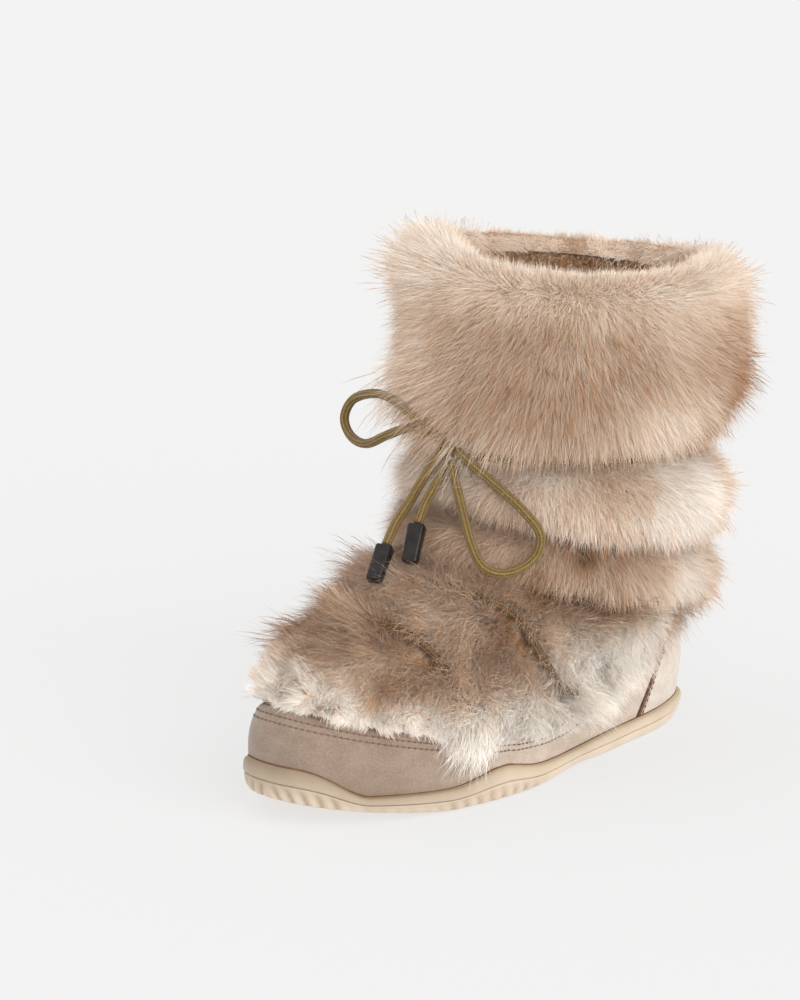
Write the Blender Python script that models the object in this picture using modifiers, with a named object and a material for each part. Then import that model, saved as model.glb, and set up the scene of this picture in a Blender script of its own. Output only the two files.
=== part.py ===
"""Left fur boot: cup sole, hollow upper, suede rand and counter, fur bands, lace and drawcord.

Lengths are millimetres until a mesh is made. The toe points along -X, the outer side of the
foot along -Y, and the sole stands on Z = 0. A place on the upper is given by its level, counted
in rows of the section table, and its turn, from 0 at the heel over the outer side to pi at the toe.
"""
import math
import random

import bmesh
import bpy
from mathutils import Vector
from mathutils.bvhtree import BVHTree

MM = 0.001
GAP = 0.3
SUEDE_GAP = 0.6
FUR_GAP = 0.9
FULL_TURN = 2 * math.pi
SHARP_EDGE = math.radians(50)
NUDGE = 0.02
SEARCH_ROUNDS = 30
CURVE_PARTS = 12

# Upper, a row for each section of the last from the sole seat to the collar
WALL = 3.0
UPPER_TURNS = 32
UPPER_ROWS = 20
SECTION_COLUMNS = (
    "z_heel", "tilt", "spring", "x_heel", "x_toe", "heel", "outer", "inner", "blunt", "curve",
)
SECTIONS = (
    (5.6, 0.0, 1.0, 126.0, -126.0, 28.5, 45.0, 42.5, 2.5, 1.0),
    (16.0, 0.0, 1.0, 127.0, -128.0, 29.5, 46.0, 44.0, 2.5, 1.0),
    (27.0, 2.0, 1.0, 129.0, -127.0, 30.5, 46.0, 44.0, 2.5, 1.0),
    (36.0, 4.0, 0.9, 129.5, -121.0, 31.0, 44.0, 42.5, 2.45, 1.0),
    (44.0, 6.0, 0.6, 129.0, -110.0, 31.5, 41.5, 40.5, 2.4, 0.9),
    (51.0, 10.0, 0.3, 128.0, -92.0, 32.0, 39.5, 39.0, 2.3, 0.7),
    (58.0, 17.0, 0.0, 126.0, -68.0, 33.0, 38.5, 38.5, 2.2, 0.5),
    (66.0, 22.5, 0.0, 125.0, -44.0, 35.0, 39.0, 39.0, 2.1, 0.3),
    (76.0, 28.0, 0.0, 122.5, -25.0, 38.0, 42.0, 42.0, 2.05, 0.15),
    (92.0, 31.0, 0.0, 120.0, -11.0, 43.0, 46.0, 46.0, 2.0, 0.0),
    (115.0, 31.0, 0.0, 119.5, -3.5, 48.0, 50.0, 50.0, 2.0, 0.0),
    (150.0, 26.0, 0.0, 121.0, 0.5, 52.5, 53.5, 53.5, 2.0, 0.0),
    (188.0, 19.0, 0.0, 122.0, 1.5, 55.5, 55.5, 55.5, 2.0, 0.0),
    (219.0, 14.0, 0.0, 122.0, 1.0, 57.0, 57.0, 57.0, 2.0, 0.0),
)
COLLAR_LEVEL = len(SECTIONS) - 1
FEATHER_LEVEL = 1.0
TOE_SPRING = 10.5
SPRING_START = 0.733
SPRING_POWER = 1.3
HEEL_TO_BALL = (0.18, 0.68)
TOE_CURVE = 8.0
TOE_CURVE_START = 0.5
ARCH_PINCH = 4.5
ARCH_PLACE = (0.42, 0.16)

# Outsole, a row for each ring of its side from the rim down: share of the height and set-in
SOLE_TURNS = 80
SOLE_FLOOR = 5.0
LIP = 4.4
RIM = 11.0
RIM_SPRING = 0.45
RIM_TOE = 12.0
RIM_TOE_ANGLES = (math.radians(42), math.radians(8))
RIM_HEEL = 1.5
RIM_HEEL_PLACE = (0.0, 0.10)
RIM_BUMP = 5.5
RIM_BUMP_PLACE = (0.63, 0.07)
SIDE_COLUMNS = ("share", "inset", "ribbed")
SIDE_ROWS = (
    (0.00, 2.0, 0.0),
    (0.08, 0.5, 0.0),
    (0.42, 0.0, 0.0),
    (0.46, 1.1, 0.0),
    (0.51, 0.4, 0.0),
    (0.74, 1.0, 1.0),
    (0.92, 2.6, 1.0),
    (1.00, 5.5, 0.6),
)
RIB = 1.5
RIB_START = (0.5, 0.56)
TREAD_INSET = 11.5
TREAD_SHARES = (0.2, 0.5, 0.8)
HEEL_ROLL = 6.0
HEEL_ROLL_END = 0.09
ARCH_LIFT = 2.0
ARCH_SPAN = (0.27, 0.41, 0.55)
LUG_GROOVE = 1.5
LUG_EVERY = 4

# Insole
INSOLE = 4.5
INSOLE_GAP = 0.7

# Lines round the upper, as heights of their parts
RAND = 1.4
RAND_ROWS = 4
RAND_TURNS = 32
RAND_TUCK = 3.0
RAND_WAIST = 25.0
RAND_TOE = 50.0
RAND_HEEL = 60.0
RAND_LOW_PLACE = 0.48
RAND_TOE_POWER = 1.6
RAND_HEEL_POWER = 1.5
COUNTER = 1.5
COUNTER_ROWS = 5
COUNTER_TURNS = 14
SEAM_FOOT = (81.0, 12.0)
SEAM_LEAN = 0.61
SEAM_GAP = 0.02
ANKLE_BACK = 64.0
ANKLE_FRONT = 104.0
BAND_BACK = 97.0
BAND_FRONT = 123.0
CINCH_BACK = 143.0
CINCH_FRONT = 150.0
CINCH_HALF = 3.4
BAND_GAP = 0.8

# Fur, a row for each ring: share of the height, rise above it and depth of the coat
BAND_TURNS = 30
COAT_COLUMNS = ("share", "rise", "depth")
ANKLE_COAT = ((0.0, 0.0, 10.0), (0.28, 0.0, 17.5), (0.6, 0.0, 16.5), (1.0, 0.0, 4.0))
MIDDLE_COAT = (
    (0.0, 0.0, 10.0), (0.22, 0.0, 18.0), (0.55, 0.0, 19.5), (0.84, 0.0, 12.0), (1.0, 0.0, 2.2),
)
CUFF_COAT = (
    (0.0, 0.0, 2.2), (0.11, 0.0, 11.5), (0.28, 0.0, 19.0), (0.5, 0.0, 22.0), (0.72, 0.0, 22.0),
    (0.92, 0.0, 19.0), (1.0, 7.0, 11.5), (1.0, 11.0, 1.0), (1.0, 5.0, -5.5),
)
BAND_SEAT = ((0.0, 0.0, FUR_GAP), (0.5, 0.0, FUR_GAP), (1.0, 0.0, FUR_GAP))
CUFF_SEAT = ((0.0, 0.0, FUR_GAP), (0.5, 0.0, FUR_GAP), (1.0, FUR_GAP, FUR_GAP), (1.0, FUR_GAP, -5.0))
VAMP_COAT = (
    (0.0, 3.0), (0.12, 8.0), (0.28, 12.5), (0.45, 15.0), (0.62, 15.5), (0.80, 13.0), (1.0, 4.0),
)
VAMP_TURNS = 32
VAMP_END = 0.12
VAMP_END_DEPTH = 0.3
LOCK_OUT = 0.24
LOCK_LEAN = 0.55
LOCK_SPREAD = 0.35
LOCK_SEED = 11

# Lace over the vamp: turns from the toe and shares of the vamp's height, from the middle outward
CORD = 4.4
LACES = {
    "vamp_lace_front": ((0, 0.42), (22, 0.43), (42, 0.38), (57, 0.26), (67, 0.13)),
    "vamp_lace_middle": ((0, 0.70), (28, 0.75), (52, 0.72), (74, 0.52), (92, 0.24)),
    "vamp_lace_back": ((58, 0.93), (76, 0.92), (94, 0.88), (110, 0.82)),
}
LACE_STEP = 12.0
LACE_SPREAD = 60.0
LACE_SPACING = 7.0
LACE_CLEAR = 1.9
LACE_LANE = 12.0
LACE_RAY = 60.0

# Drawcord: knot, bow and ends in front of the shaft
KNOT_DEPTH = 16.0
KNOT_RADII = (6.0, 7.5, 6.5)
CINCH_DEPTH = 3.0
CINCH_LEAVE = math.radians(40)
CINCH_END = math.radians(6.2)
CINCH_STEP = 12.0
CINCH_POINTS = 44
CORD_STEP = 10.0
BOW_INNER = (
    (-21.5, 6.6, 157.8), (-25, 19, 162), (-28, 32, 157), (-27, 47, 150), (-24, 60, 151), (-21, 67, 158),
    (-19, 63, 167), (-19, 49, 172), (-23, 33, 172), (-26, 16, 167), (-24.1, 0.8, 158.6),
)
BOW_OUTER = (
    (-23.2, -6.9, 155.1), (-23, -16, 150), (-20, -30, 141), (-18, -42, 133), (-14, -49, 123), (-15, -49, 114),
    (-22, -47, 108), (-32, -43, 106), (-38, -37, 109), (-37, -29, 117), (-33, -20, 129),
    (-28.5, -11, 141), (-24.4, -4.4, 149.7),
)
END_OUTER = ((-24.2, 0.8, 146.6), (-30.5, -0.5, 140), (-37, 0, 132), (-43, -1, 124))
END_INNER = ((-24.6, 4.5, 150.0), (-31, 6.5, 142), (-39, 8.5, 131), (-47.5, 8.5, 123), (-56, 6.5, 115))
TIP_SIZE = (8.0, 6.0, 19.0)
TIP_ROUND = 1.6
TIP_GAP = 0.8
TIPS = {
    "cord_tip_outer": (END_OUTER[-1], (-53, -5.5, 109)),
    "cord_tip_inner": (END_INNER[-1], (-68, 2, 103)),
}

COLOURS = {
    "cream_rubber": (0.66, 0.57, 0.45), "footbed": (0.50, 0.42, 0.34), "lined_suede": (0.40, 0.31, 0.24),
    "suede": (0.58, 0.47, 0.38), "heel_suede": (0.68, 0.56, 0.46), "vamp_fur": (0.48, 0.36, 0.26),
    "ankle_fur": (0.56, 0.44, 0.33), "middle_fur": (0.52, 0.39, 0.29), "cuff_fur": (0.62, 0.51, 0.42),
    "olive_cord": (0.19, 0.12, 0.06), "dark_plastic": (0.035, 0.025, 0.02),
}
ROUGHNESS = {"cream_rubber": 0.55, "olive_cord": 0.7, "dark_plastic": 0.25}
FUR_ROUGHNESS = 0.9


def smooth(low, high, value):
    """Eases from 0 at low to 1 at high."""
    share = max(0.0, min(1.0, (value - low) / (high - low)))
    return share * share * (3 - 2 * share)


def hump(place, value):
    """A soft bump of height 1 at a place given as its centre and half width."""
    centre, width = place
    return math.exp(-(((value - centre) / width) ** 2))


def mix(low, high, share):
    return low + (high - low) * share


def signed_power(value, power):
    return math.copysign(abs(value) ** power, value)


def spline(before, start, end, after, share):
    """A smooth value between start and end that heads for its neighbours."""
    leave = (end - before) / 2
    arrive = (after - start) / 2
    square = share * share
    cube = square * share
    return (
        start * (2 * cube - 3 * square + 1)
        + leave * (cube - 2 * square + share)
        + end * (3 * square - 2 * cube)
        + arrive * (cube - square)
    )


def section_at(level):
    """The sizes of the section at a level, smoothly between the rows of the table."""
    row = min(int(level), COLLAR_LEVEL - 1)
    near = [SECTIONS[max(0, min(COLLAR_LEVEL, row + step))] for step in (-1, 0, 1, 2)]
    sizes = [spline(*column, level - row) for column in zip(*near)]
    return dict(zip(SECTION_COLUMNS, sizes))


def toe_spring(along):
    """How far the sole has lifted at a share of the foot's length from the heel."""
    past = max(0.0, (along - SPRING_START) / (1 - SPRING_START))
    return TOE_SPRING * past ** SPRING_POWER


def along_at(turn, blunt):
    """The share of a section's length, from heel to toe, at a turn."""
    return (1 - signed_power(math.cos(turn), 2 / blunt)) / 2


def skin(level, turn):
    """A point on the outside of the upper."""
    size = section_at(level)
    along = along_at(turn, size["blunt"])
    outer_side = math.sin(turn) >= 0
    ball = size["outer"] if outer_side else size["inner"]
    half = mix(size["heel"], ball, smooth(*HEEL_TO_BALL, along))
    if not outer_side:
        half -= ARCH_PINCH * size["curve"] * hump(ARCH_PLACE, along)
    shift = TOE_CURVE * size["curve"] * smooth(TOE_CURVE_START, 1.0, along)
    return Vector((
        mix(size["x_heel"], size["x_toe"], along),
        shift - half * signed_power(math.sin(turn), 2 / size["blunt"]),
        size["z_heel"] + size["tilt"] * along + size["spring"] * toe_spring(along),
    ))


def outward(level, turn):
    """The upper's outward direction at a point."""
    upward = skin(min(level + NUDGE, COLLAR_LEVEL), turn) - skin(max(level - NUDGE, 0.0), turn)
    onward = skin(level, turn + NUDGE) - skin(level, turn - NUDGE)
    return upward.cross(onward).normalized()


def level_at(turn, height):
    """The level where the upper reaches a height at a turn."""
    low, high = 0.0, float(COLLAR_LEVEL)
    for _ in range(SEARCH_ROUNDS):
        middle = (low + high) / 2
        if skin(middle, turn).z < height:
            low = middle
        else:
            high = middle
    return (low + high) / 2


def raised(level, turn, depth, rise=0.0):
    """A point at a depth outside the upper, lifted by a rise."""
    return skin(level, turn) + outward(level, turn) * depth + Vector((0, 0, rise))


def turns(count):
    return [FULL_TURN * step / count for step in range(count)]


def feather_along(turn):
    return along_at(turn, section_at(FEATHER_LEVEL)["blunt"])


def rim_height(turn):
    """The top of the sole's rim, with its toe bumper, forefoot bump and heel."""
    along = feather_along(turn)
    wide, narrow = (math.cos(angle) for angle in RIM_TOE_ANGLES)
    return (
        RIM
        + RIM_SPRING * toe_spring(along)
        + RIM_TOE * smooth(wide, narrow, -math.cos(turn))
        + RIM_HEEL * hump(RIM_HEEL_PLACE, along)
        + RIM_BUMP * hump(RIM_BUMP_PLACE, along)
    )


def rand_height(turn):
    """The stitched top line of the suede rand."""
    along = feather_along(turn)
    if along > RAND_LOW_PLACE:
        past = (along - RAND_LOW_PLACE) / (1 - RAND_LOW_PLACE)
        return mix(RAND_WAIST, RAND_TOE, past ** RAND_TOE_POWER)
    past = (RAND_LOW_PLACE - along) / RAND_LOW_PLACE
    return mix(RAND_WAIST, RAND_HEEL, past ** RAND_HEEL_POWER)


def tilted(back, front):
    """A line round the shaft that rises from its back to its front."""
    return lambda turn: mix(back, front, (1 - math.cos(turn)) / 2)


ankle_line = tilted(ANKLE_BACK, ANKLE_FRONT)
band_line = tilted(BAND_BACK, BAND_FRONT)
cinch_line = tilted(CINCH_BACK, CINCH_FRONT)


def seam_turn(lines, share):
    """The turn of the slanted heel seam, on the outer side, at a share between two lines."""
    place, foot = SEAM_FOOT
    low, high = 0.0, math.pi / 2
    for _ in range(SEARCH_ROUNDS):
        middle = (low + high) / 2
        height = mix(*lines(middle), share)
        if skin(level_at(middle, height), middle).x > place + SEAM_LEAN * (height - foot):
            low = middle
        else:
            high = middle
    return (low + high) / 2


def rand_lines(turn):
    return rim_height(turn) - RAND_TUCK, rand_height(turn)


def counter_lines(turn):
    return rim_height(turn) - RAND_TUCK, ankle_line(turn) - FUR_GAP


def vamp_lines(turn):
    return rand_height(turn) + FUR_GAP, ankle_line(turn) - FUR_GAP


def add_rows(bm, rows, closed):
    """Adds quads over rows of points, ordered upward and by turn, with their faces outward."""
    grid = [[bm.verts.new(point) for point in row] for row in rows]
    count = len(grid[0])
    faces = []
    for low, high in zip(grid, grid[1:]):
        for here in range(count if closed else count - 1):
            beyond = (here + 1) % count
            faces.append(bm.faces.new((low[here], high[here], high[beyond], low[beyond])))
    return grid, faces


def join_rows(bm, first, second, closed):
    """Closes the strip between two rows of vertices."""
    count = len(first)
    for here in range(count if closed else count - 1):
        beyond = (here + 1) % count
        bm.faces.new((first[here], second[here], second[beyond], first[beyond]))


def add_ladder(bm, ring, shares, place):
    """Closes a ring across its width with rungs whose inner points are set by place."""
    count = len(ring)
    rungs = []
    for step in range(1, count // 2):
        left, right = ring[step], ring[count - step]
        inner = [bm.verts.new(place(step, left.co.lerp(right.co, share))) for share in shares]
        rungs.append([left, *inner, right])
    for first, second in zip(rungs, rungs[1:]):
        join_rows(bm, first, second, False)
    for tip, rung in ((ring[0], rungs[0]), (ring[count // 2], rungs[-1])):
        for near, far in zip(rung, rung[1:]):
            bm.faces.new((tip, near, far))


def finish(name):
    """A Principled material in one of the boot's colours."""
    material = bpy.data.materials.get(name) or bpy.data.materials.new(name)
    material.use_nodes = True
    shader = material.node_tree.nodes["Principled BSDF"]
    shader.inputs["Base Color"].default_value = (*COLOURS[name], 1.0)
    shader.inputs["Roughness"].default_value = ROUGHNESS.get(name, FUR_ROUGHNESS)
    shader.inputs["Metallic"].default_value = 0.0
    material.diffuse_color = (*COLOURS[name], 1.0)
    return material


def keep(name, data, colour, boot):
    """Puts a mesh or curve into the boot's collection as a named piece."""
    piece = bpy.data.objects.new(name, data)
    bpy.data.collections["fur_boot"].objects.link(piece)
    piece.parent = boot
    data.materials.append(finish(colour))
    return piece


def keep_mesh(name, bm, colour, boot, closed=True):
    """Turns a bmesh in millimetres into a piece of the boot."""
    if closed:
        bmesh.ops.recalc_face_normals(bm, faces=bm.faces)
    bmesh.ops.scale(bm, vec=(MM, MM, MM), verts=bm.verts)
    mesh = bpy.data.meshes.new(name)
    bm.to_mesh(mesh)
    bm.free()
    mesh.shade_smooth()
    mesh.set_sharp_from_angle(angle=SHARP_EDGE)
    return keep(name, mesh, colour, boot)


def build_upper(boot):
    """One hollow wall, open at the collar and under the foot."""
    bm = bmesh.new()
    levels = [COLLAR_LEVEL * row / UPPER_ROWS for row in range(UPPER_ROWS + 1)]
    add_rows(bm, [[skin(level, turn) for turn in turns(UPPER_TURNS)] for level in levels], True)
    piece = keep_mesh("upper", bm, "lined_suede", boot, closed=False)
    wall = piece.modifiers.new("wall", "SOLIDIFY")
    wall.thickness = WALL * MM
    wall.offset = -1.0
    wall.use_even_offset = True
    return piece


def tread_height(along):
    """The underside of the sole: flat under heel and ball, lifted at the arch and the toe."""
    start, middle, end = ARCH_SPAN
    arch = smooth(start, middle, along) - smooth(middle, end, along)
    return toe_spring(along) + ARCH_LIFT * arch


def side_point(turn, inset, height):
    """A point beside the sole's outline, which runs a lip's width outside the upper."""
    flat = outward(FEATHER_LEVEL, turn)
    flat.z = 0.0
    place = skin(FEATHER_LEVEL, turn) + flat.normalized() * (LIP - inset)
    place.z = height
    return place


def side_ring(row):
    """One ring of the sole's side, with every second point drawn in where it is ribbed."""
    sizes = dict(zip(SIDE_COLUMNS, row))
    ring = []
    for step, turn in enumerate(turns(SOLE_TURNS)):
        along = feather_along(turn)
        rim = rim_height(turn)
        roll = HEEL_ROLL * (1 - smooth(0.0, HEEL_ROLL_END, along))
        height = mix(rim, tread_height(along) + roll, sizes["share"])
        rib = RIB * sizes["ribbed"] * (step % 2) * smooth(*RIB_START, along)
        ring.append(side_point(turn, sizes["inset"] + rib, height))
    return ring


def build_outsole(boot):
    """Cup sole: floor, inner wall, rounded rim, groove, ribbed side and lugged tread."""
    bm = bmesh.new()
    space = SUEDE_GAP + COUNTER + SUEDE_GAP
    floor_ring = []
    wall_ring = []
    tread_ring = []
    for turn in turns(SOLE_TURNS):
        along = feather_along(turn)
        seat = raised(0.0, turn, space)
        seat.z = toe_spring(along) + SOLE_FLOOR
        floor_ring.append(seat)
        rim = rim_height(turn)
        brim = raised(level_at(turn, rim), turn, space)
        brim.z = rim - GAP
        wall_ring.append(brim)
        tread_ring.append(side_point(turn, TREAD_INSET, tread_height(along)))
    rings = [floor_ring, wall_ring, *(side_ring(row) for row in SIDE_ROWS), tread_ring]
    grid, _ = add_rows(bm, rings, True)

    def tread(step, point):
        along = feather_along(FULL_TURN * step / SOLE_TURNS)
        groove = LUG_GROOVE if step % LUG_EVERY == 0 else 0.0
        return Vector((point.x, point.y, tread_height(along) + groove))

    add_ladder(bm, grid[0], (0.5,), lambda step, point: point)
    add_ladder(bm, grid[-1], TREAD_SHARES, tread)
    return keep_mesh("outsole", bm, "cream_rubber", boot)


def build_insole(boot):
    """A footbed that lies on the sole's floor inside the upper."""
    bm = bmesh.new()
    rings = []
    for lift in (GAP, INSOLE):
        ring = []
        for turn in turns(UPPER_TURNS):
            edge = raised(0.0, turn, -WALL - INSOLE_GAP)
            edge.z = toe_spring(feather_along(turn)) + SOLE_FLOOR + lift
            ring.append(edge)
        rings.append(ring)
    grid, _ = add_rows(bm, rings, True)
    for ring in grid:
        add_ladder(bm, ring, (0.5,), lambda step, point: point)
    return keep_mesh("insole", bm, "footbed", boot)


def overlay(rows, columns, ends, lines, depth):
    """Rows of points over the upper between two seams and two lines, at a depth."""
    grid = []
    for row in range(rows + 1):
        share = row / rows
        first, last = ends(share)
        line = []
        for column in range(columns + 1):
            turn = mix(first, last, column / columns)
            line.append(raised(level_at(turn, mix(*lines(turn), share)), turn, depth))
        grid.append(line)
    return grid


def add_shell(bm, inner, outer):
    """Closes an open patch between its inner and outer rows; returns the outer faces."""
    under, _ = add_rows(bm, inner, False)
    over, faces = add_rows(bm, outer, False)
    join_rows(bm, under[0], over[0], False)
    join_rows(bm, under[-1], over[-1], False)
    join_rows(bm, [row[0] for row in under], [row[0] for row in over], False)
    join_rows(bm, [row[-1] for row in under], [row[-1] for row in over], False)
    return faces


def build_rand(boot):
    """The suede band round the toe and quarters, from inside the rim to its stitched top."""
    def ends(share):
        seam = seam_turn(rand_lines, share) + SEAM_GAP
        return seam, FULL_TURN - seam

    bm = bmesh.new()
    patch = (RAND_ROWS, RAND_TURNS, ends, rand_lines)
    add_shell(bm, overlay(*patch, SUEDE_GAP), overlay(*patch, SUEDE_GAP + RAND))
    return keep_mesh("suede_rand", bm, "suede", boot)


def build_counter(boot):
    """The suede heel piece between the slanted seams, up to the ankle band."""
    def ends(share):
        seam = seam_turn(counter_lines, share)
        return -seam, seam

    bm = bmesh.new()
    patch = (COUNTER_ROWS, COUNTER_TURNS, ends, counter_lines)
    add_shell(bm, overlay(*patch, SUEDE_GAP), overlay(*patch, SUEDE_GAP + COUNTER))
    return keep_mesh("heel_counter", bm, "heel_suede", boot)


def raise_locks(bm, faces, draw, lanes=()):
    """Pokes each face into a lock that leans down the coat, except along a lace's lane."""
    for face in faces:
        low_left, high_left, high_right, low_right = (corner.co.copy() for corner in face.verts)
        centre = face.calc_center_median()
        if any((centre - spot).length < LACE_LANE for spot in lanes):
            continue
        down = (low_left + low_right - high_left - high_right) / 2
        size = math.sqrt(face.calc_area())
        normal = face.normal.copy()
        vary = 1 + draw.uniform(-LOCK_SPREAD, LOCK_SPREAD)
        aside = (low_right - low_left) * draw.uniform(-LOCK_SPREAD, LOCK_SPREAD) / 2
        tip = bmesh.ops.poke(bm, faces=[face])["verts"][0]
        tip.co = centre + normal * size * LOCK_OUT * vary + down * LOCK_LEAN * vary / 2 + aside


def coat_rows(coat, low_line, high_line):
    """Closed rings of a fur band, from rows of share, rise and depth."""
    rows = []
    for entry in coat:
        size = dict(zip(COAT_COLUMNS, entry))
        ring = []
        for turn in turns(BAND_TURNS):
            low = level_at(turn, low_line(turn))
            level = mix(low, high_line(turn), size["share"])
            ring.append(raised(level, turn, size["depth"], size["rise"]))
        rows.append(ring)
    return rows


def build_band(boot, name, colour, coat, seat, low_line, high_level, draw):
    """A fur band round the shaft: a seat against the upper and a coat of locks outside."""
    bm = bmesh.new()
    under, _ = add_rows(bm, coat_rows(seat, low_line, high_level), True)
    over, faces = add_rows(bm, coat_rows(coat, low_line, high_level), True)
    join_rows(bm, under[0], over[0], True)
    join_rows(bm, under[-1], over[-1], True)
    bmesh.ops.recalc_face_normals(bm, faces=bm.faces)
    raise_locks(bm, faces, draw)
    return keep_mesh(name, bm, colour, boot)


def vamp_place(angle, share):
    """Level and turn of a place on the vamp: degrees from the toe and share of its height."""
    turn = math.pi - math.radians(angle)
    return level_at(turn, mix(*vamp_lines(turn), share)), turn


def lace_places(rows):
    """Places along one half of a lace, close enough to lay it on the fur."""
    spread = [(angle, share * LACE_SPREAD, 0.0) for angle, share in rows]
    return [(place.x, place.y / LACE_SPREAD) for place in smooth_route(spread, LACE_SPACING)]


def lace_route(rows):
    """A whole lace from the outer side over the instep, or both halves where it stays apart."""
    half = lace_places(rows)
    mirrored = [(-angle, share) for angle, share in half]
    if rows[0][0] == 0:
        return [half[::-1] + mirrored[1:]]
    return [half, mirrored]


def vamp_rows(depth_share):
    """Rows of the vamp's fur between the seams, the rand and the ankle band."""
    rows = []
    for share, depth in VAMP_COAT:
        seam = seam_turn(vamp_lines, share) + 2 * SEAM_GAP
        row = []
        for column in range(VAMP_TURNS + 1):
            across = column / VAMP_TURNS
            turn = mix(seam, FULL_TURN - seam, across)
            edge = smooth(0.0, VAMP_END, min(across, 1 - across))
            coat = depth * mix(VAMP_END_DEPTH, 1.0, edge)
            level = level_at(turn, mix(*vamp_lines(turn), share))
            row.append(raised(level, turn, mix(FUR_GAP, coat, depth_share)))
        rows.append(row)
    return rows


def build_vamp(boot, draw):
    """The vamp's fur, with lanes left flat for the lace; returns its surface."""
    lanes = []
    for rows in LACES.values():
        for half in lace_route(rows):
            for angle, share in half:
                level, turn = vamp_place(angle, share)
                depths = [depth for place, depth in VAMP_COAT if place <= share]
                lanes.append(raised(level, turn, depths[-1]))
    bm = bmesh.new()
    faces = add_shell(bm, vamp_rows(0.0), vamp_rows(1.0))
    bmesh.ops.recalc_face_normals(bm, faces=bm.faces)
    raise_locks(bm, faces, draw, lanes)
    bmesh.ops.triangulate(bm, faces=bm.faces)
    surface = BVHTree.FromBMesh(bm)
    keep_mesh("fur_vamp", bm, "vamp_fur", boot)
    return surface


def smooth_route(points, step):
    """Points at even steps along a smooth curve through a cord's route."""
    route = [Vector(point) for point in points]
    route = [2 * route[0] - route[1], *route, 2 * route[-1] - route[-2]]
    dense = []
    for near in zip(route, route[1:], route[2:], route[3:]):
        for part in range(CURVE_PARTS):
            dense.append(Vector([spline(*axis, part / CURVE_PARTS) for axis in zip(*near)]))
    dense.append(route[-2])
    lengths = [0.0]
    for first, second in zip(dense, dense[1:]):
        lengths.append(lengths[-1] + (second - first).length)
    count = max(2, round(lengths[-1] / step))
    spaced = []
    here = 0
    for part in range(count + 1):
        wanted = lengths[-1] * part / count
        while here < len(lengths) - 2 and lengths[here + 1] < wanted:
            here += 1
        share = (wanted - lengths[here]) / (lengths[here + 1] - lengths[here])
        spaced.append(dense[here].lerp(dense[here + 1], share))
    return spaced


def build_cord(boot, name, points, step=CORD_STEP):
    """A round cord along a smooth route."""
    curve = bpy.data.curves.new(name, "CURVE")
    curve.dimensions = "3D"
    route = smooth_route(points, step)
    track = curve.splines.new("POLY")
    track.points.add(len(route) - 1)
    for knot, place in zip(track.points, route):
        knot.co = (*(place * MM), 1.0)
    curve.bevel_depth = CORD * MM / 2
    curve.bevel_resolution = 2
    curve.use_fill_caps = True
    return keep(name, curve, "olive_cord", boot)


def lace_points(places, surface, clear):
    """Points of a lace over the fur, with a clear gap under the cord."""
    points = []
    for angle, share in places:
        level, turn = vamp_place(angle, share)
        normal = outward(level, turn)
        start = skin(level, turn) + normal * LACE_RAY
        hit = surface.ray_cast(start, -normal)[0]
        points.append(hit + normal * (CORD / 2 + clear))
    return points


def lace_gap(points, surface):
    """The least gap between a lace's cord and the fur."""
    route = smooth_route(points, LACE_STEP)
    gaps = []
    for first, second in zip(route, route[1:]):
        for part in range(CURVE_PARTS + 1):
            spot = first.lerp(second, part / CURVE_PARTS)
            gaps.append(surface.find_nearest(spot)[3] - CORD / 2)
    return min(gaps)


def build_laces(boot, surface):
    """Cord bars laid in the flat lanes of the vamp's fur, each sunk until it rests there."""
    for name, rows in LACES.items():
        halves = lace_route(rows)
        sides = ("_outer", "_inner") if len(halves) > 1 else ("",)
        for side, places in zip(sides, halves):
            sink = lace_gap(lace_points(places, surface, LACE_CLEAR), surface) - GAP
            points = lace_points(places, surface, LACE_CLEAR - sink)
            build_cord(boot, name + side, points, LACE_STEP)


def knot_centre():
    turn = math.pi
    return raised(level_at(turn, cinch_line(turn)), turn, KNOT_DEPTH)


def build_drawcord(boot):
    """The cord round the shaft in the waist of the fur, from one side of the knot to the other."""
    points = []
    for step in range(CINCH_POINTS + 1):
        turn = mix(math.pi + CINCH_END, 3 * math.pi - CINCH_END, step / CINCH_POINTS)
        apart = abs(turn - FULL_TURN)
        near = smooth(math.pi - CINCH_LEAVE, math.pi - CINCH_END, apart)
        level = level_at(turn, cinch_line(turn))
        points.append(raised(level, turn, mix(CINCH_DEPTH, KNOT_DEPTH, near)))
    return build_cord(boot, "drawcord", points, CINCH_STEP)


def build_knot(boot):
    """The bow's knot, a plain rounded body."""
    bm = bmesh.new()
    bmesh.ops.create_uvsphere(bm, u_segments=12, v_segments=8, radius=1.0)
    bmesh.ops.scale(bm, vec=KNOT_RADII, verts=bm.verts)
    bmesh.ops.translate(bm, vec=knot_centre(), verts=bm.verts)
    return keep_mesh("drawcord_knot", bm, "olive_cord", boot)


def build_tip(boot, name, start, end):
    """A moulded cap on a cord's end, a rounded block along the cord."""
    start, end = Vector(start), Vector(end)
    way = (end - start).normalized()
    width, depth, length = TIP_SIZE
    bm = bmesh.new()
    bmesh.ops.create_cube(bm, size=1.0)
    bmesh.ops.scale(bm, vec=(width, depth, length), verts=bm.verts)
    bmesh.ops.bevel(bm, geom=bm.edges, offset=TIP_ROUND, segments=2, affect="EDGES", profile=0.5)
    bmesh.ops.rotate(bm, matrix=way.to_track_quat("Z", "Y").to_matrix(), verts=bm.verts)
    bmesh.ops.translate(bm, vec=start + way * (TIP_GAP + length / 2), verts=bm.verts)
    return keep_mesh(name, bm, "dark_plastic", boot)


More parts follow.
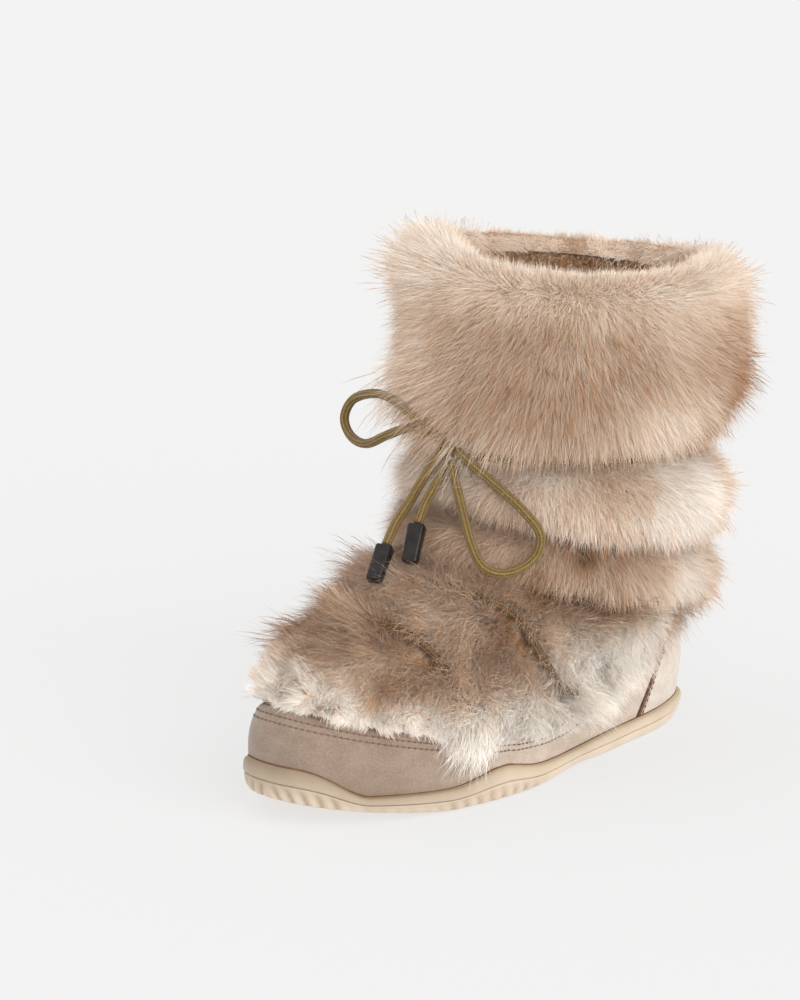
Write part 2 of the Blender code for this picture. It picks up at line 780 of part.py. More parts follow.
def centre_on_origin(boot, pieces):
    """Moves the boot so that the box of its pieces stands centred on the origin."""
    bpy.context.view_layer.update()
    spots = [piece.matrix_world @ Vector(corner) for piece in pieces for corner in piece.bound_box]
    low = [min(spot[axis] for spot in spots) for axis in range(3)]
    high = [max(spot[axis] for spot in spots) for axis in range(3)]
    boot.location = (-(low[0] + high[0]) / 2, -(low[1] + high[1]) / 2, -low[2])
    bpy.context.view_layer.update()


def main():
    for old in list(bpy.data.objects):
        bpy.data.objects.remove(old, do_unlink=True)
    collection = bpy.data.collections.new("fur_boot")
    bpy.context.scene.collection.children.link(collection)
    boot = bpy.data.objects.new("boot_middle", None)
    collection.objects.link(boot)
    draw = random.Random(LOCK_SEED)

    build_outsole(boot)
    build_insole(boot)
    build_upper(boot)
    build_rand(boot)
    build_counter(boot)
    surface = build_vamp(boot, draw)
    build_band(
        boot, "fur_ankle_band", "ankle_fur", ANKLE_COAT, BAND_SEAT, ankle_line,
        lambda turn: level_at(turn, band_line(turn) - BAND_GAP), draw,
    )
    build_band(
        boot, "fur_middle_band", "middle_fur", MIDDLE_COAT, BAND_SEAT,
        lambda turn: band_line(turn) + BAND_GAP,
        lambda turn: level_at(turn, cinch_line(turn) - CINCH_HALF), draw,
    )
    build_band(
        boot, "fur_cuff", "cuff_fur", CUFF_COAT, CUFF_SEAT,
        lambda turn: cinch_line(turn) + CINCH_HALF, lambda turn: COLLAR_LEVEL, draw,
    )
    body = [piece for piece in collection.objects if piece.type == "MESH"]
    build_laces(boot, surface)
    build_drawcord(boot)
    build_knot(boot)
    build_cord(boot, "bow_loop_inner", BOW_INNER)
    build_cord(boot, "bow_loop_outer", BOW_OUTER)
    build_cord(boot, "cord_end_outer", END_OUTER)
    build_cord(boot, "cord_end_inner", END_INNER)
    for name, (start, end) in TIPS.items():
        build_tip(boot, name, start, end)
    centre_on_origin(boot, body)


main()
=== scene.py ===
# %% [markdown]
# # A fur boot, dressed in Blender
# The solids of a left winter boot are already modelled: a rubber cup sole, a hollow upper, suede
# pieces, tiers of fur and a drawcord. This lesson loads them as a fixed frame and makes the surfaces
# that a camera sees: suede with stitches, cream rubber, braided cord, and fur grown hair by hair.
# Lengths are millimetres in the boot's own design frame until a mesh is made.

# %% Load the frame
import math

import bmesh
import bpy
import numpy as np
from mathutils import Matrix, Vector


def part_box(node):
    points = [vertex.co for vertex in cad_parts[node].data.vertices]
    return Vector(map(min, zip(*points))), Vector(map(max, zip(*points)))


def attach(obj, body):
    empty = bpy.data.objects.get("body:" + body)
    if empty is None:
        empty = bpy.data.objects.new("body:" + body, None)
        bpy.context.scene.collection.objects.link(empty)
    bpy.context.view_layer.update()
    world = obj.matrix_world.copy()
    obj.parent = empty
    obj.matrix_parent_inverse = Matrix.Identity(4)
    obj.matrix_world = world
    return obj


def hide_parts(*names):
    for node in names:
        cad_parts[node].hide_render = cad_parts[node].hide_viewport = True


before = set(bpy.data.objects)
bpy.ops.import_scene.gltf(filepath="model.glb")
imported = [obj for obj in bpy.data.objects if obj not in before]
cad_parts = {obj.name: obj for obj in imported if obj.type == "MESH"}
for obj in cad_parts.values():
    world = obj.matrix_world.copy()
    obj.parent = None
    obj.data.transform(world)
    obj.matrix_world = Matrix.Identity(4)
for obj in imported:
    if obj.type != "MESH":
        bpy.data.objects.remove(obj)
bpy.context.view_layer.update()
MM = 0.001
print("nodes in the frame:", len(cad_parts))

# %% [markdown]
# ## The last
# A shoe is built over a last, and every piece of this boot is a layer on it. The last is a short table
# of sections from the sole seat to the collar. A place on it is a level, counted in rows of the table,
# and a turn, from 0 at the heel over the outer side to pi at the toe. A table with smooth values between
# its rows is easier to steer than a sculpted mesh, and each layer can then be grown at its own depth.

# %% The last's sections
FULL_TURN = 2 * math.pi
SECTION_COLUMNS = (
    "z_heel", "tilt", "spring", "x_heel", "x_toe", "heel", "outer", "inner", "blunt", "curve",
)
SECTIONS = (
    (5.6, 0.0, 1.0, 126.0, -126.0, 28.5, 45.0, 42.5, 2.5, 1.0),
    (16.0, 0.0, 1.0, 127.0, -128.0, 29.5, 46.0, 44.0, 2.5, 1.0),
    (27.0, 2.0, 1.0, 129.0, -127.0, 30.5, 46.0, 44.0, 2.5, 1.0),
    (36.0, 4.0, 0.9, 129.5, -121.0, 31.0, 44.0, 42.5, 2.45, 1.0),
    (44.0, 6.0, 0.6, 129.0, -110.0, 31.5, 41.5, 40.5, 2.4, 0.9),
    (51.0, 10.0, 0.3, 128.0, -92.0, 32.0, 39.5, 39.0, 2.3, 0.7),
    (58.0, 17.0, 0.0, 126.0, -68.0, 33.0, 38.5, 38.5, 2.2, 0.5),
    (66.0, 22.5, 0.0, 125.0, -44.0, 35.0, 39.0, 39.0, 2.1, 0.3),
    (76.0, 28.0, 0.0, 122.5, -25.0, 38.0, 42.0, 42.0, 2.05, 0.15),
    (92.0, 31.0, 0.0, 120.0, -11.0, 43.0, 46.0, 46.0, 2.0, 0.0),
    (115.0, 31.0, 0.0, 119.5, -3.5, 48.0, 50.0, 50.0, 2.0, 0.0),
    (150.0, 26.0, 0.0, 121.0, 0.5, 52.5, 53.5, 53.5, 2.0, 0.0),
    (188.0, 19.0, 0.0, 122.0, 1.5, 55.5, 55.5, 55.5, 2.0, 0.0),
    (219.0, 14.0, 0.0, 122.0, 1.0, 57.0, 57.0, 57.0, 2.0, 0.0),
)
COLLAR_LEVEL = len(SECTIONS) - 1
FEATHER_LEVEL = 1.0
TOE_SPRING = 10.5
SPRING_START = 0.733
SPRING_POWER = 1.3
HEEL_TO_BALL = (0.18, 0.68)
TOE_CURVE = 8.0
TOE_CURVE_START = 0.5
ARCH_PINCH = 4.5
ARCH_PLACE = (0.42, 0.16)
NUDGE = 0.02
TINY = 1e-9
SEARCH_ROUNDS = 30
print("last:", len(SECTIONS), "sections")

# %% Values between the rows
def smooth(low, high, value):
    """Eases from 0 at low to 1 at high."""
    share = np.clip((np.asarray(value, float) - low) / (high - low), 0.0, 1.0)
    return share * share * (3 - 2 * share)


def hump(place, value):
    """A soft bump of height 1 at a place given as its centre and half width."""
    centre, width = place
    return np.exp(-(((np.asarray(value, float) - centre) / width) ** 2))


def mix(low, high, share):
    return low + (high - low) * share


def signed_power(value, power):
    return np.copysign(np.abs(value) ** power, value)


def table_at(table, place):
    """A table's columns at a place counted in its rows, smoothly between them."""
    table = np.asarray(table, float)
    place = np.asarray(place, float)
    last = len(table) - 1
    row = np.clip(place.astype(int), 0, last - 1)
    share = (place - row)[..., None]
    before, start, end, after = (table[np.clip(row + step, 0, last)] for step in (-1, 0, 1, 2))
    square = share * share
    cube = square * share
    return (
        start * (2 * cube - 3 * square + 1)
        + (end - before) / 2 * (cube - 2 * square + share)
        + end * (3 * square - 2 * cube)
        + (after - start) / 2 * (cube - square)
    )


print("halfway between the first two sections:", table_at(SECTIONS, 0.5).round(1))

# %% Points on the last
def toe_spring(along):
    past = np.maximum(0.0, (along - SPRING_START) / (1 - SPRING_START))
    return TOE_SPRING * past ** SPRING_POWER


def along_at(turn, blunt):
    """The share of a section's length, from heel to toe, at a turn."""
    return (1 - signed_power(np.cos(turn), 2 / blunt)) / 2


def skin(level, turn):
    """Points on the outside of the upper."""
    level, turn = np.broadcast_arrays(np.asarray(level, float), np.asarray(turn, float))
    size = dict(zip(SECTION_COLUMNS, np.moveaxis(table_at(SECTIONS, level), -1, 0)))
    along = along_at(turn, size["blunt"])
    outer_side = np.sin(turn) >= 0
    ball = np.where(outer_side, size["outer"], size["inner"])
    half = mix(size["heel"], ball, smooth(*HEEL_TO_BALL, along))
    pinch = ARCH_PINCH * size["curve"] * hump(ARCH_PLACE, along)
    half = np.where(outer_side, half, half - pinch)
    aside = TOE_CURVE * size["curve"] * smooth(TOE_CURVE_START, 1.0, along)
    x = mix(size["x_heel"], size["x_toe"], along)
    y = aside - half * signed_power(np.sin(turn), 2 / size["blunt"])
    z = size["z_heel"] + size["tilt"] * along + size["spring"] * toe_spring(along)
    return np.stack((x, y, z), axis=-1)


def unit(vectors):
    return vectors / np.maximum(np.linalg.norm(vectors, axis=-1, keepdims=True), TINY)


def outward(level, turn):
    """The upper's outward directions."""
    upward = skin(np.minimum(level + NUDGE, COLLAR_LEVEL), turn) - skin(np.maximum(level - NUDGE, 0.0), turn)
    onward = skin(level, turn + NUDGE) - skin(level, turn - NUDGE)
    return unit(np.cross(upward, onward))


def level_at(turn, height):
    """The levels where the upper reaches heights at turns."""
    turn, height = np.broadcast_arrays(np.asarray(turn, float), np.asarray(height, float))
    low = np.zeros(turn.shape)
    high = np.full(turn.shape, float(COLLAR_LEVEL))
    for _ in range(SEARCH_ROUNDS):
        middle = (low + high) / 2
        under = skin(middle, turn)[..., 2] < height
        low = np.where(under, middle, low)
        high = np.where(under, high, middle)
    return (low + high) / 2


def raised(level, turn, depth):
    """Points at a depth outside the upper."""
    return skin(level, turn) + outward(level, turn) * np.asarray(depth, float)[..., None]


print("collar at the back and the front, in mm:", skin(COLLAR_LEVEL, np.array((0.0, math.pi)))[:, 2])

# %% [markdown]
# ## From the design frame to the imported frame
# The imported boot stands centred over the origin, so it is moved by a few millimetres. The knot of the
# drawcord is a round body whose middle follows from the last, and it is also a node of the frame: the
# difference between the two places is the shift that every mesh below uses.

# %% Find the shift
CINCH_BACK = 143.0
CINCH_FRONT = 150.0
KNOT_DEPTH = 16.0


def tilted(back, front):
    """A line round the shaft that rises from its back to its front."""
    return lambda turn: mix(back, front, (1 - np.cos(turn)) / 2)


cinch_line = tilted(CINCH_BACK, CINCH_FRONT)
knot = raised(level_at(math.pi, cinch_line(math.pi)), math.pi, KNOT_DEPTH)
knot_low, knot_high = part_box("drawcord_knot")
SHIFT = (np.array(knot_low) + np.array(knot_high)) / (2 * MM) - knot


def placed(points):
    """Design points in millimetres as frame points in metres."""
    return (np.asarray(points, float) + SHIFT) * MM


print("shift in mm:", SHIFT.round(3))

# %% [markdown]
# ## Camera
# The view looks over the toe at the outer side, from a little above. A long lens from far away keeps the
# boot's upright lines nearly parallel, as in the photograph.

# %% Camera
AZIMUTH = math.radians(-46.2)
ELEVATION = math.radians(14.5)
DISTANCE = 2500.0
TARGET = np.array((0.0, 0.0, 120.0))
FRAME_LEFT = 37.2
FRAME_UP = 6.4
SENSOR = 36.0
LENS = 196.2


def add_object(name, data):
    """Puts a new object into the scene."""
    thing = bpy.data.objects.new(name, data)
    bpy.context.scene.collection.objects.link(thing)
    return thing


view_right = np.array((math.cos(AZIMUTH), math.sin(AZIMUTH), 0.0))
view_level = np.array((-math.sin(AZIMUTH), math.cos(AZIMUTH), 0.0))
view_ahead = view_level * math.cos(ELEVATION) - np.array((0.0, 0.0, math.sin(ELEVATION)))
view_up = np.cross(view_right, view_ahead)
aim = TARGET - view_right * FRAME_LEFT + view_up * FRAME_UP

camera = add_object("camera", bpy.data.cameras.new("camera"))
camera.data.sensor_fit = "VERTICAL"
camera.data.sensor_height = SENSOR
camera.data.lens = LENS
camera.location = placed(aim - view_ahead * DISTANCE)
camera.rotation_euler = Vector(view_ahead).to_track_quat("-Z", "Y").to_euler()
bpy.context.scene.camera = camera
bpy.context.scene.view_settings.view_transform = "Standard"
print("camera at", [round(x, 3) for x in camera.location])

# %% [markdown]
# ## Helpers for nodes
# Materials and Geometry Nodes are graphs, and a graph written in Python soon has many like lines. These
# helpers add a node, fill its inputs by name and give back the output that comes next. Colours are written
# as they show on a screen and turned into linear light, which is what Blender reckons with.

# %% Node helpers
def plug(tree, socket, value):
    """Links a socket to another, or sets its value."""
    if isinstance(value, bpy.types.NodeSocket):
        tree.links.new(value, socket)
    else:
        socket.default_value = value


def add_node(tree, kind, inputs=None, **settings):
    """Adds a node, sets its properties and fills its inputs by name."""
    node = tree.nodes.new(kind)
    for name, value in settings.items():
        setattr(node, name, value)
    for name, value in (inputs or {}).items():
        socket = next(each for each in node.inputs if each.name == name and each.enabled)
        plug(tree, socket, value)
    return node


def result(node, name=None):
    """A node's first output that is in use, or the one with a name."""
    return next(each for each in node.outputs if each.enabled and name in (None, each.name))


def maths(tree, operation, *values, clamp=False):
    node = tree.nodes.new("ShaderNodeMath")
    node.operation = operation
    node.use_clamp = clamp
    for socket, value in zip(node.inputs, values):
        plug(tree, socket, value)
    return node.outputs[0]


def vectors(tree, operation, *values, scale=None):
    node = tree.nodes.new("ShaderNodeVectorMath")
    node.operation = operation
    for socket, value in zip(node.inputs, values):
        plug(tree, socket, value)
    if scale is not None:
        plug(tree, node.inputs["Scale"], scale)
    return result(node)


def blend(tree, factor, first, second, blend_type="MIX"):
    """A mix of two colours."""
    node = tree.nodes.new("ShaderNodeMix")
    node.data_type = "RGBA"
    node.blend_type = blend_type
    sockets = [each for each in node.inputs if each.enabled]
    for socket, value in zip(sockets, (factor, first, second)):
        plug(tree, socket, value)
    return result(node)


def ramp(tree, factor, stops):
    """A colour ramp from stops of place and colour."""
    node = tree.nodes.new("ShaderNodeValToRGB")
    elements = node.color_ramp.elements
    while len(elements) < len(stops):
        elements.new(1.0)
    for element, (place, colour) in zip(elements, stops):
        element.position = place
        element.color = colour
    plug(tree, node.inputs["Fac"], factor)
    return node.outputs["Color"]


def srgb(red, green, blue):
    """A colour given as it shows on a screen, from 0 to 255, as linear light."""
    parts = [value / 255 for value in (red, green, blue)]
    linear = [part / 12.92 if part <= 0.04045 else ((part + 0.055) / 1.055) ** 2.4 for part in parts]
    return (*linear, 1.0)


def new_material(name, roughness=0.8, specular=0.3, **constants):
    """A Principled material; returns it with its tree and its shader."""
    material = bpy.data.materials.new(name)
    material.use_nodes = True
    tree = material.node_tree
    shader = tree.nodes["Principled BSDF"]
    shader.inputs["Roughness"].default_value = roughness
    shader.inputs["Specular IOR Level"].default_value = specular
    for key, value in constants.items():
        shader.inputs[key.replace("_", " ")].default_value = value
    return material, tree, shader


def bump(tree, shader, height, distance, strength=1.0):
    """Feeds a height, in its own metres of distance, to the shader's normal."""
    inputs = {"Height": height, "Distance": distance, "Strength": strength}
    node = add_node(tree, "ShaderNodeBump", inputs)
    tree.links.new(node.outputs["Normal"], shader.inputs["Normal"])


def own_space(tree):
    """A piece's own coordinates."""
    return add_node(tree, "ShaderNodeTexCoord").outputs["Object"]


def add_inputs(tree, inputs):
    """Gives a node tree named inputs, with their kinds and, where there is one, a first value."""
    for label, kind, value in inputs:
        socket = tree.interface.new_socket(label, in_out="INPUT", socket_type=kind)
        if value is not None:
            socket.default_value = value


def new_group(name, inputs, outputs):
    """An empty shader group with named inputs and outputs; returns it with both end nodes."""
    group = bpy.data.node_groups.new(name, "ShaderNodeTree")
    add_inputs(group, inputs)
    for label, kind in outputs:
        group.interface.new_socket(label, in_out="OUTPUT", socket_type=kind)
    return group, group.nodes.new("NodeGroupInput"), group.nodes.new("NodeGroupOutput")


print("a middle grey in linear light:", round(srgb(128, 128, 128)[0], 3))

# %% [markdown]
# ## Floor and light
# The photograph has an even pale ground and no hard shadows, as on a light table, so the floor glows a
# little, and a wide sun, a pale sky and one soft fill light the boot. A sun lights the whole floor alike,
# which an area lamp close to the boot would not do.

# %% Floor and light
FLOOR_HALF = 14.0
FLOOR_COLOUR = srgb(128, 128, 128)
FLOOR_GLOW = 0.637
SKY_COLOUR = (1.0, 0.99, 0.98, 1.0)
SKY_STRENGTH = 0.85
KEY_STRENGTH = 2.3
KEY_ANGLE = math.radians(75)
KEY_TURN = math.radians(30)
KEY_HEIGHT = math.radians(20)
FILL_STRENGTH = 0.3
FILL_TURN = math.radians(-50)
FILL_HEIGHT = math.radians(60)


def add_sun(name, strength, turn, height, angle):
    """A soft sun whose light comes from a turn to the right of the camera and a height."""
    lamp = bpy.data.lights.new(name, "SUN")
    lamp.energy = strength
    lamp.angle = angle
    toward = AZIMUTH + turn
    way = Vector((-math.sin(toward), math.cos(toward), 0.0)) * math.cos(height)
    way.z = -math.sin(height)
    sun = add_object(name, lamp)
    sun.rotation_euler = way.to_track_quat("-Z", "Y").to_euler()


floor_mesh = bpy.data.meshes.new("floor")
floor_edge = [(x * FLOOR_HALF, y * FLOOR_HALF, 0) for x, y in ((-1, -1), (1, -1), (1, 1), (-1, 1))]
floor_mesh.from_pydata(floor_edge, [], [(0, 1, 2, 3)])
floor = add_object("floor", floor_mesh)
floor_finish, _, floor_shader = new_material("pale_floor", roughness=1.0, specular=0.0)
floor_shader.inputs["Base Color"].default_value = FLOOR_COLOUR
floor_shader.inputs["Emission Color"].default_value = (1.0, 1.0, 1.0, 1.0)
floor_shader.inputs["Emission Strength"].default_value = FLOOR_GLOW
floor_mesh.materials.append(floor_finish)

world = bpy.data.worlds.new("sky")
bpy.context.scene.world = world
world.use_nodes = True
world.node_tree.nodes["Background"].inputs["Color"].default_value = SKY_COLOUR
world.node_tree.nodes["Background"].inputs["Strength"].default_value = SKY_STRENGTH
add_sun("key", KEY_STRENGTH, KEY_TURN, KEY_HEIGHT, KEY_ANGLE)
add_sun("fill", FILL_STRENGTH, FILL_TURN, FILL_HEIGHT, KEY_ANGLE)
print("floor, sky and two suns")

# %% [markdown]
# ## Helpers for meshes
# Nearly every piece is a grid of points on the last, so these helpers turn a grid into faces, close two grids
# into a sheet and hand a mesh over as a piece of the boot. A Solidify modifier could thicken a sheet too, but
# a grid of its own for the inner side can follow the last more closely.

# %% Mesh helpers
SAME_POINT = 1e-6
SHARP_EDGE = math.radians(45)


def keep(name, mesh, material, slot, *nodes):
    """Makes a mesh a piece of the boot that rides on its one body and stands for CAD nodes."""
    piece = add_object(name, mesh)
    mesh.materials.clear()
    mesh.materials.append(material)
    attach(piece, "root")
    if nodes:
        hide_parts(*nodes)
    return piece


def grid_faces(rows, columns, closed, first=0):
    """Quads over a grid of points, by upward rows and turning columns, that face outward."""
    faces = []
    for row in range(rows - 1):
        for column in range(columns if closed else columns - 1):
            beyond = (column + 1) % columns
            low = first + row * columns
            high = low + columns
            faces.append((low + column, high + column, high + beyond, low + beyond))
    return faces


def slab(outer, inner):
    """The points and faces of a closed sheet between two grids."""
    rows, columns = outer.shape[:2]
    under = rows * columns
    faces = grid_faces(rows, columns, False)
    faces += [tuple(reversed(face)) for face in grid_faces(rows, columns, False, under)]
    rim = list(range(columns)) + [row * columns + columns - 1 for row in range(1, rows)]
    rim += [(rows - 1) * columns + column for column in range(columns - 2, -1, -1)]
    rim += [row * columns for row in range(rows - 2, 0, -1)]
    for here, beyond in zip(rim, rim[1:] + rim[:1]):
        faces.append((here, beyond, beyond + under, here + under))
    return np.concatenate((outer.reshape(-1, 3), inner.reshape(-1, 3))), faces


def mesh_of(name, points, faces):
    mesh = bpy.data.meshes.new(name)
    mesh.from_pydata(placed(points).tolist(), [], faces)
    mesh.validate()
    mesh.shade_smooth()
    return mesh


def mesh_from(name, bm):
    """The smooth mesh that an edited shape becomes."""
    mesh = bpy.data.meshes.new(name)
    bm.to_mesh(mesh)
    bm.free()
    mesh.shade_smooth()
    return mesh


def note(mesh, label, values, kind="FLOAT"):
    """Stores a number or a direction at each point of a mesh."""
    field = "value" if kind == "FLOAT" else "vector"
    mesh.attributes.new(label, kind, "POINT").data.foreach_set(field, np.ravel(values))


def outline_mesh(name, points, faces, **notes):
    """A closed mesh whose doubles are merged and whose faces are turned outward, with notes at its points."""
    mesh = mesh_of(name, points, faces)
    for label, values in notes.items():
        note(mesh, label, values)
    bm = bmesh.new()
    bm.from_mesh(mesh)
    bmesh.ops.remove_doubles(bm, verts=bm.verts, dist=SAME_POINT)
    bmesh.ops.recalc_face_normals(bm, faces=bm.faces)
    bm.to_mesh(mesh)
    bm.free()
    mesh.shade_smooth()
    mesh.set_sharp_from_angle(angle=SHARP_EDGE)
    return mesh


def triangles(mesh):
    mesh.calc_loop_triangles()
    return len(mesh.loop_triangles)


print("edges over", round(math.degrees(SHARP_EDGE)), "degrees stay sharp")

# %% [markdown]
# ## Cord
# The boot is tied with a round braided cord. Its route is a short list of points that a smooth curve
# passes through, the same list that the solids use. A curve with a bevel would be quick, but the real
# cord has lengthwise ribs, so a tube is swept by hand with a wavy section, and its UV map counts
# millimetres along the cord for the braid.

# %% Braided cord
CORD = 4.4
CORD_SIDES = 32
CORD_RIBS = 8
CORD_RIB_DEPTH = 0.05
CORD_STEP = 1.0
CURVE_PARTS = 24


def run_along(points):
    """How far along a line each of its points lies."""
    return np.concatenate(([0.0], np.cumsum(np.linalg.norm(np.diff(points, axis=0), axis=1))))


def spread_along(wanted, run, values):
    """A line's points or directions at wanted distances along it."""
    return np.stack([np.interp(wanted, run, values[:, axis]) for axis in range(3)], axis=-1)


def smooth_route(points, step):
    """Points at even steps along a smooth curve through a route."""
    points = np.asarray(points, float)
    ends = np.vstack((2 * points[0] - points[1], points, 2 * points[-1] - points[-2]))
    dense = table_at(ends, np.linspace(1, len(points), CURVE_PARTS * len(points)))
    run = run_along(dense)
    count = max(2, round(run[-1] / step))
    return spread_along(np.linspace(0.0, run[-1], count + 1), run, dense)


def route_length(route):
    return float(np.linalg.norm(np.diff(route, axis=0), axis=1).sum())


def sweep_frames(route):
    """Two directions across a route at each point, carried along it without a twist."""
    ahead = unit(np.gradient(route, axis=0))
    side = np.cross(ahead[0], (0.0, 0.0, 1.0))
    sides = []
    for way in ahead:
        side = side - way * np.dot(side, way)
        side = side / np.linalg.norm(side)
        sides.append(side)
    sides = np.array(sides)
    return sides, np.cross(ahead, sides)


def swept_rings(route, angle, radius):
    """Rings of points round a route, at angles and with one radius or one for each angle."""
    sides, ups = sweep_frames(route)
    across = sides[:, None] * np.cos(angle)[:, None] + ups[:, None] * np.sin(angle)[:, None]
    return route[:, None] + across * np.asarray(radius, float)[..., None]


def cord_mesh(name, points):
    """A ribbed tube along a route, with its UV map in millimetres; returns it with its path."""
    route = smooth_route(points, CORD_STEP)
    angle = np.linspace(0, FULL_TURN, CORD_SIDES, endpoint=False)
    radius = CORD / 2 * (1 - CORD_RIB_DEPTH * (0.5 - 0.5 * np.cos(CORD_RIBS * angle)))
    rings = swept_rings(route, angle, radius)
    rows = len(route)
    spots = np.vstack((rings.reshape(-1, 3), route[:1], route[-1:]))
    faces = grid_faces(rows, CORD_SIDES, True)
    start, end = rows * CORD_SIDES, rows * CORD_SIDES + 1
    last = (rows - 1) * CORD_SIDES
    for here in range(CORD_SIDES):
        beyond = (here + 1) % CORD_SIDES
        faces.append((start, here, beyond))
        faces.append((end, last + beyond, last + here))
    mesh = mesh_of(name, spots, faces)
    run = np.arange(rows) * route_length(route) / (rows - 1)
    layer = mesh.uv_layers.new(name="cord")
    for polygon in mesh.polygons:
        corners = [mesh.loops[loop].vertex_index for loop in polygon.loop_indices]
        steps = [corner % CORD_SIDES for corner in corners]
        wraps = max(steps) - min(steps) > 1
        for loop, corner in zip(polygon.loop_indices, corners):
            if corner >= start:
                layer.data[loop].uv = (run[0] if corner == start else run[-1], 0.5)
                continue
            round_share = (corner % CORD_SIDES) / CORD_SIDES
            if wraps and round_share == 0:
                round_share = 1.0
            layer.data[loop].uv = (run[corner // CORD_SIDES], round_share)
    return mesh, placed(route)


print("cord:", CORD, "mm thick with", CORD_RIBS, "ribs")

# %% Braid material
BRAID_PITCH = 1.3
BRAID_SPOTS = 900.0
BRAID_SPOT_SHARE = 0.5
BRAID_LIT_SHARE = 0.7
BRAID_BUMP = 0.00035


def braid_finish(name, dark, middle, light):
    """Olive braid: slanting threads in two directions and lengthwise ribs, painted golden on their crests as
    highlight and darker in their grooves as shade.
    """
    material, tree, shader = new_material(name, roughness=0.62, specular=0.35, Sheen_Weight=0.12)
    place = add_node(tree, "ShaderNodeUVMap", uv_map="cord").outputs["UV"]
    parts = add_node(tree, "ShaderNodeSeparateXYZ", {"Vector": place})
    run = maths(tree, "MULTIPLY", parts.outputs["X"], FULL_TURN / BRAID_PITCH)
    round_turn = maths(tree, "MULTIPLY", parts.outputs["Y"], FULL_TURN * CORD_RIBS)
    right = maths(tree, "SINE", maths(tree, "ADD", run, round_turn))
    left = maths(tree, "SINE", maths(tree, "SUBTRACT", run, round_turn))
    thread = maths(tree, "MAXIMUM", right, left)
    rib = maths(tree, "COSINE", round_turn)
    level = maths(tree, "ADD", maths(tree, "MULTIPLY", thread, 0.5), maths(tree, "MULTIPLY", rib, 0.5))
    # The crests of threads and ribs are painted lighter as highlight, and their grooves darker as shade.
    lit = maths(tree, "MULTIPLY_ADD", level, 0.5, 0.5, clamp=True)
    lit = maths(tree, "MULTIPLY", lit, BRAID_LIT_SHARE)
    noise = {"Vector": own_space(tree), "Scale": BRAID_SPOTS, "Detail": 2.0}
    spots = add_node(tree, "ShaderNodeTexNoise", noise)
    shade = maths(tree, "MULTIPLY_ADD", spots.outputs["Fac"], BRAID_SPOT_SHARE, lit, clamp=True)
    stops = ((0.15, dark), (0.55, middle), (1.0, light))
    tree.links.new(ramp(tree, shade, stops), shader.inputs["Base Color"])
    bump(tree, shader, level, BRAID_BUMP)
    return material


BRAID = braid_finish("olive_braid", srgb(58, 40, 19), srgb(106, 82, 38), srgb(158, 130, 71))
print("material:", BRAID.name)

# %% Bow, free ends and tips
BOW_INNER = (
    (-21.5, 6.6, 157.8), (-25, 19, 162), (-28, 32, 157), (-27, 47, 150), (-24, 60, 151), (-21, 67, 158),
    (-19, 63, 167), (-19, 49, 172), (-23, 33, 172), (-26, 16, 167), (-24.1, 0.8, 158.6),
)
BOW_OUTER = (
    (-23.2, -6.9, 155.1), (-23, -16, 150), (-20, -30, 141), (-18, -42, 133), (-14, -49, 123),
    (-15, -49, 114), (-22, -47, 108), (-32, -43, 106), (-38, -37, 109), (-37, -29, 117), (-33, -20, 129),
    (-28.5, -11, 141), (-24.4, -4.4, 149.7),
)
END_OUTER = ((-21.5, 0.8, 149.5), (-24.2, 0.8, 146.6), (-30.5, -0.5, 140), (-37, 0, 132), (-43, -1, 124))
END_INNER = (
    (-21.5, 4.0, 152.2), (-24.6, 4.5, 150.0), (-31, 6.5, 142), (-39, 8.5, 131), (-47.5, 8.5, 123),
    (-56, 6.5, 115),
)
FREE_CORDS = {
    "bow_loop_inner": (BOW_INNER, "knot"),
    "bow_loop_outer": (BOW_OUTER, "knot"),
    "cord_end_outer": (END_OUTER, "fitting"),
    "cord_end_inner": (END_INNER, "fitting"),
}
TIP_OF = {"cord_end_outer": "cord_tip_outer", "cord_end_inner": "cord_tip_inner"}
TIP_AHEAD = {"cord_tip_outer": (-53, -5.5, 109), "cord_tip_inner": (-68, 2, 103)}
TIP_SIZE = (8.0, 6.0, 19.0)
TIP_ROUND = 1.3
TIP_GAP = 0.8
TIP_NARROWS = 0.10
TIP_NARROWS_FROM = 0.2
TIP_FLATTENS = 0.22
TIP_EDGE = math.radians(40)


def tip_finish():
    """Dark moulded plastic with a gloss."""
    material, tree, shader = new_material("tip_plastic", roughness=0.2, specular=0.25, Coat_Weight=0.15)
    noise = {"Vector": own_space(tree), "Scale": 220.0, "Detail": 3.0}
    grain = add_node(tree, "ShaderNodeTexNoise", noise)
    stops = ((0.3, srgb(16, 13, 12)), (0.7, srgb(36, 31, 28)))
    tree.links.new(ramp(tree, grain.outputs["Fac"], stops), shader.inputs["Base Color"])
    bump(tree, shader, grain.outputs["Fac"], distance=0.0002, strength=0.4)
    return material


def tip_mesh(name, start, end):
    """A flat-sided cap with rounded edges that narrows away from the cord."""
    start, end = Vector(start), Vector(end)
    way = (end - start).normalized()
    width, depth, length = TIP_SIZE
    bm = bmesh.new()
    bmesh.ops.create_cube(bm, size=1.0)
    bmesh.ops.scale(bm, vec=(width, depth, length), verts=bm.verts)
    bmesh.ops.bevel(bm, geom=bm.edges, offset=TIP_ROUND, segments=4, affect="EDGES", profile=0.5)
    for vert in bm.verts:
        share = vert.co.z / length + 0.5
        vert.co.x *= 1.0 - TIP_NARROWS * float(smooth(TIP_NARROWS_FROM, 1.0, share))
        vert.co.y *= 1.0 - TIP_FLATTENS * float(smooth(0.0, 1.0, share))
    bmesh.ops.rotate(bm, matrix=way.to_track_quat("Z", "Y").to_matrix(), verts=bm.verts)
    bmesh.ops.translate(bm, vec=start + way * (TIP_GAP + length / 2), verts=bm.verts)
    for vert in bm.verts:
        vert.co = placed(vert.co)
    mesh = mesh_from(name, bm)
    mesh.set_sharp_from_angle(angle=TIP_EDGE)
    return mesh


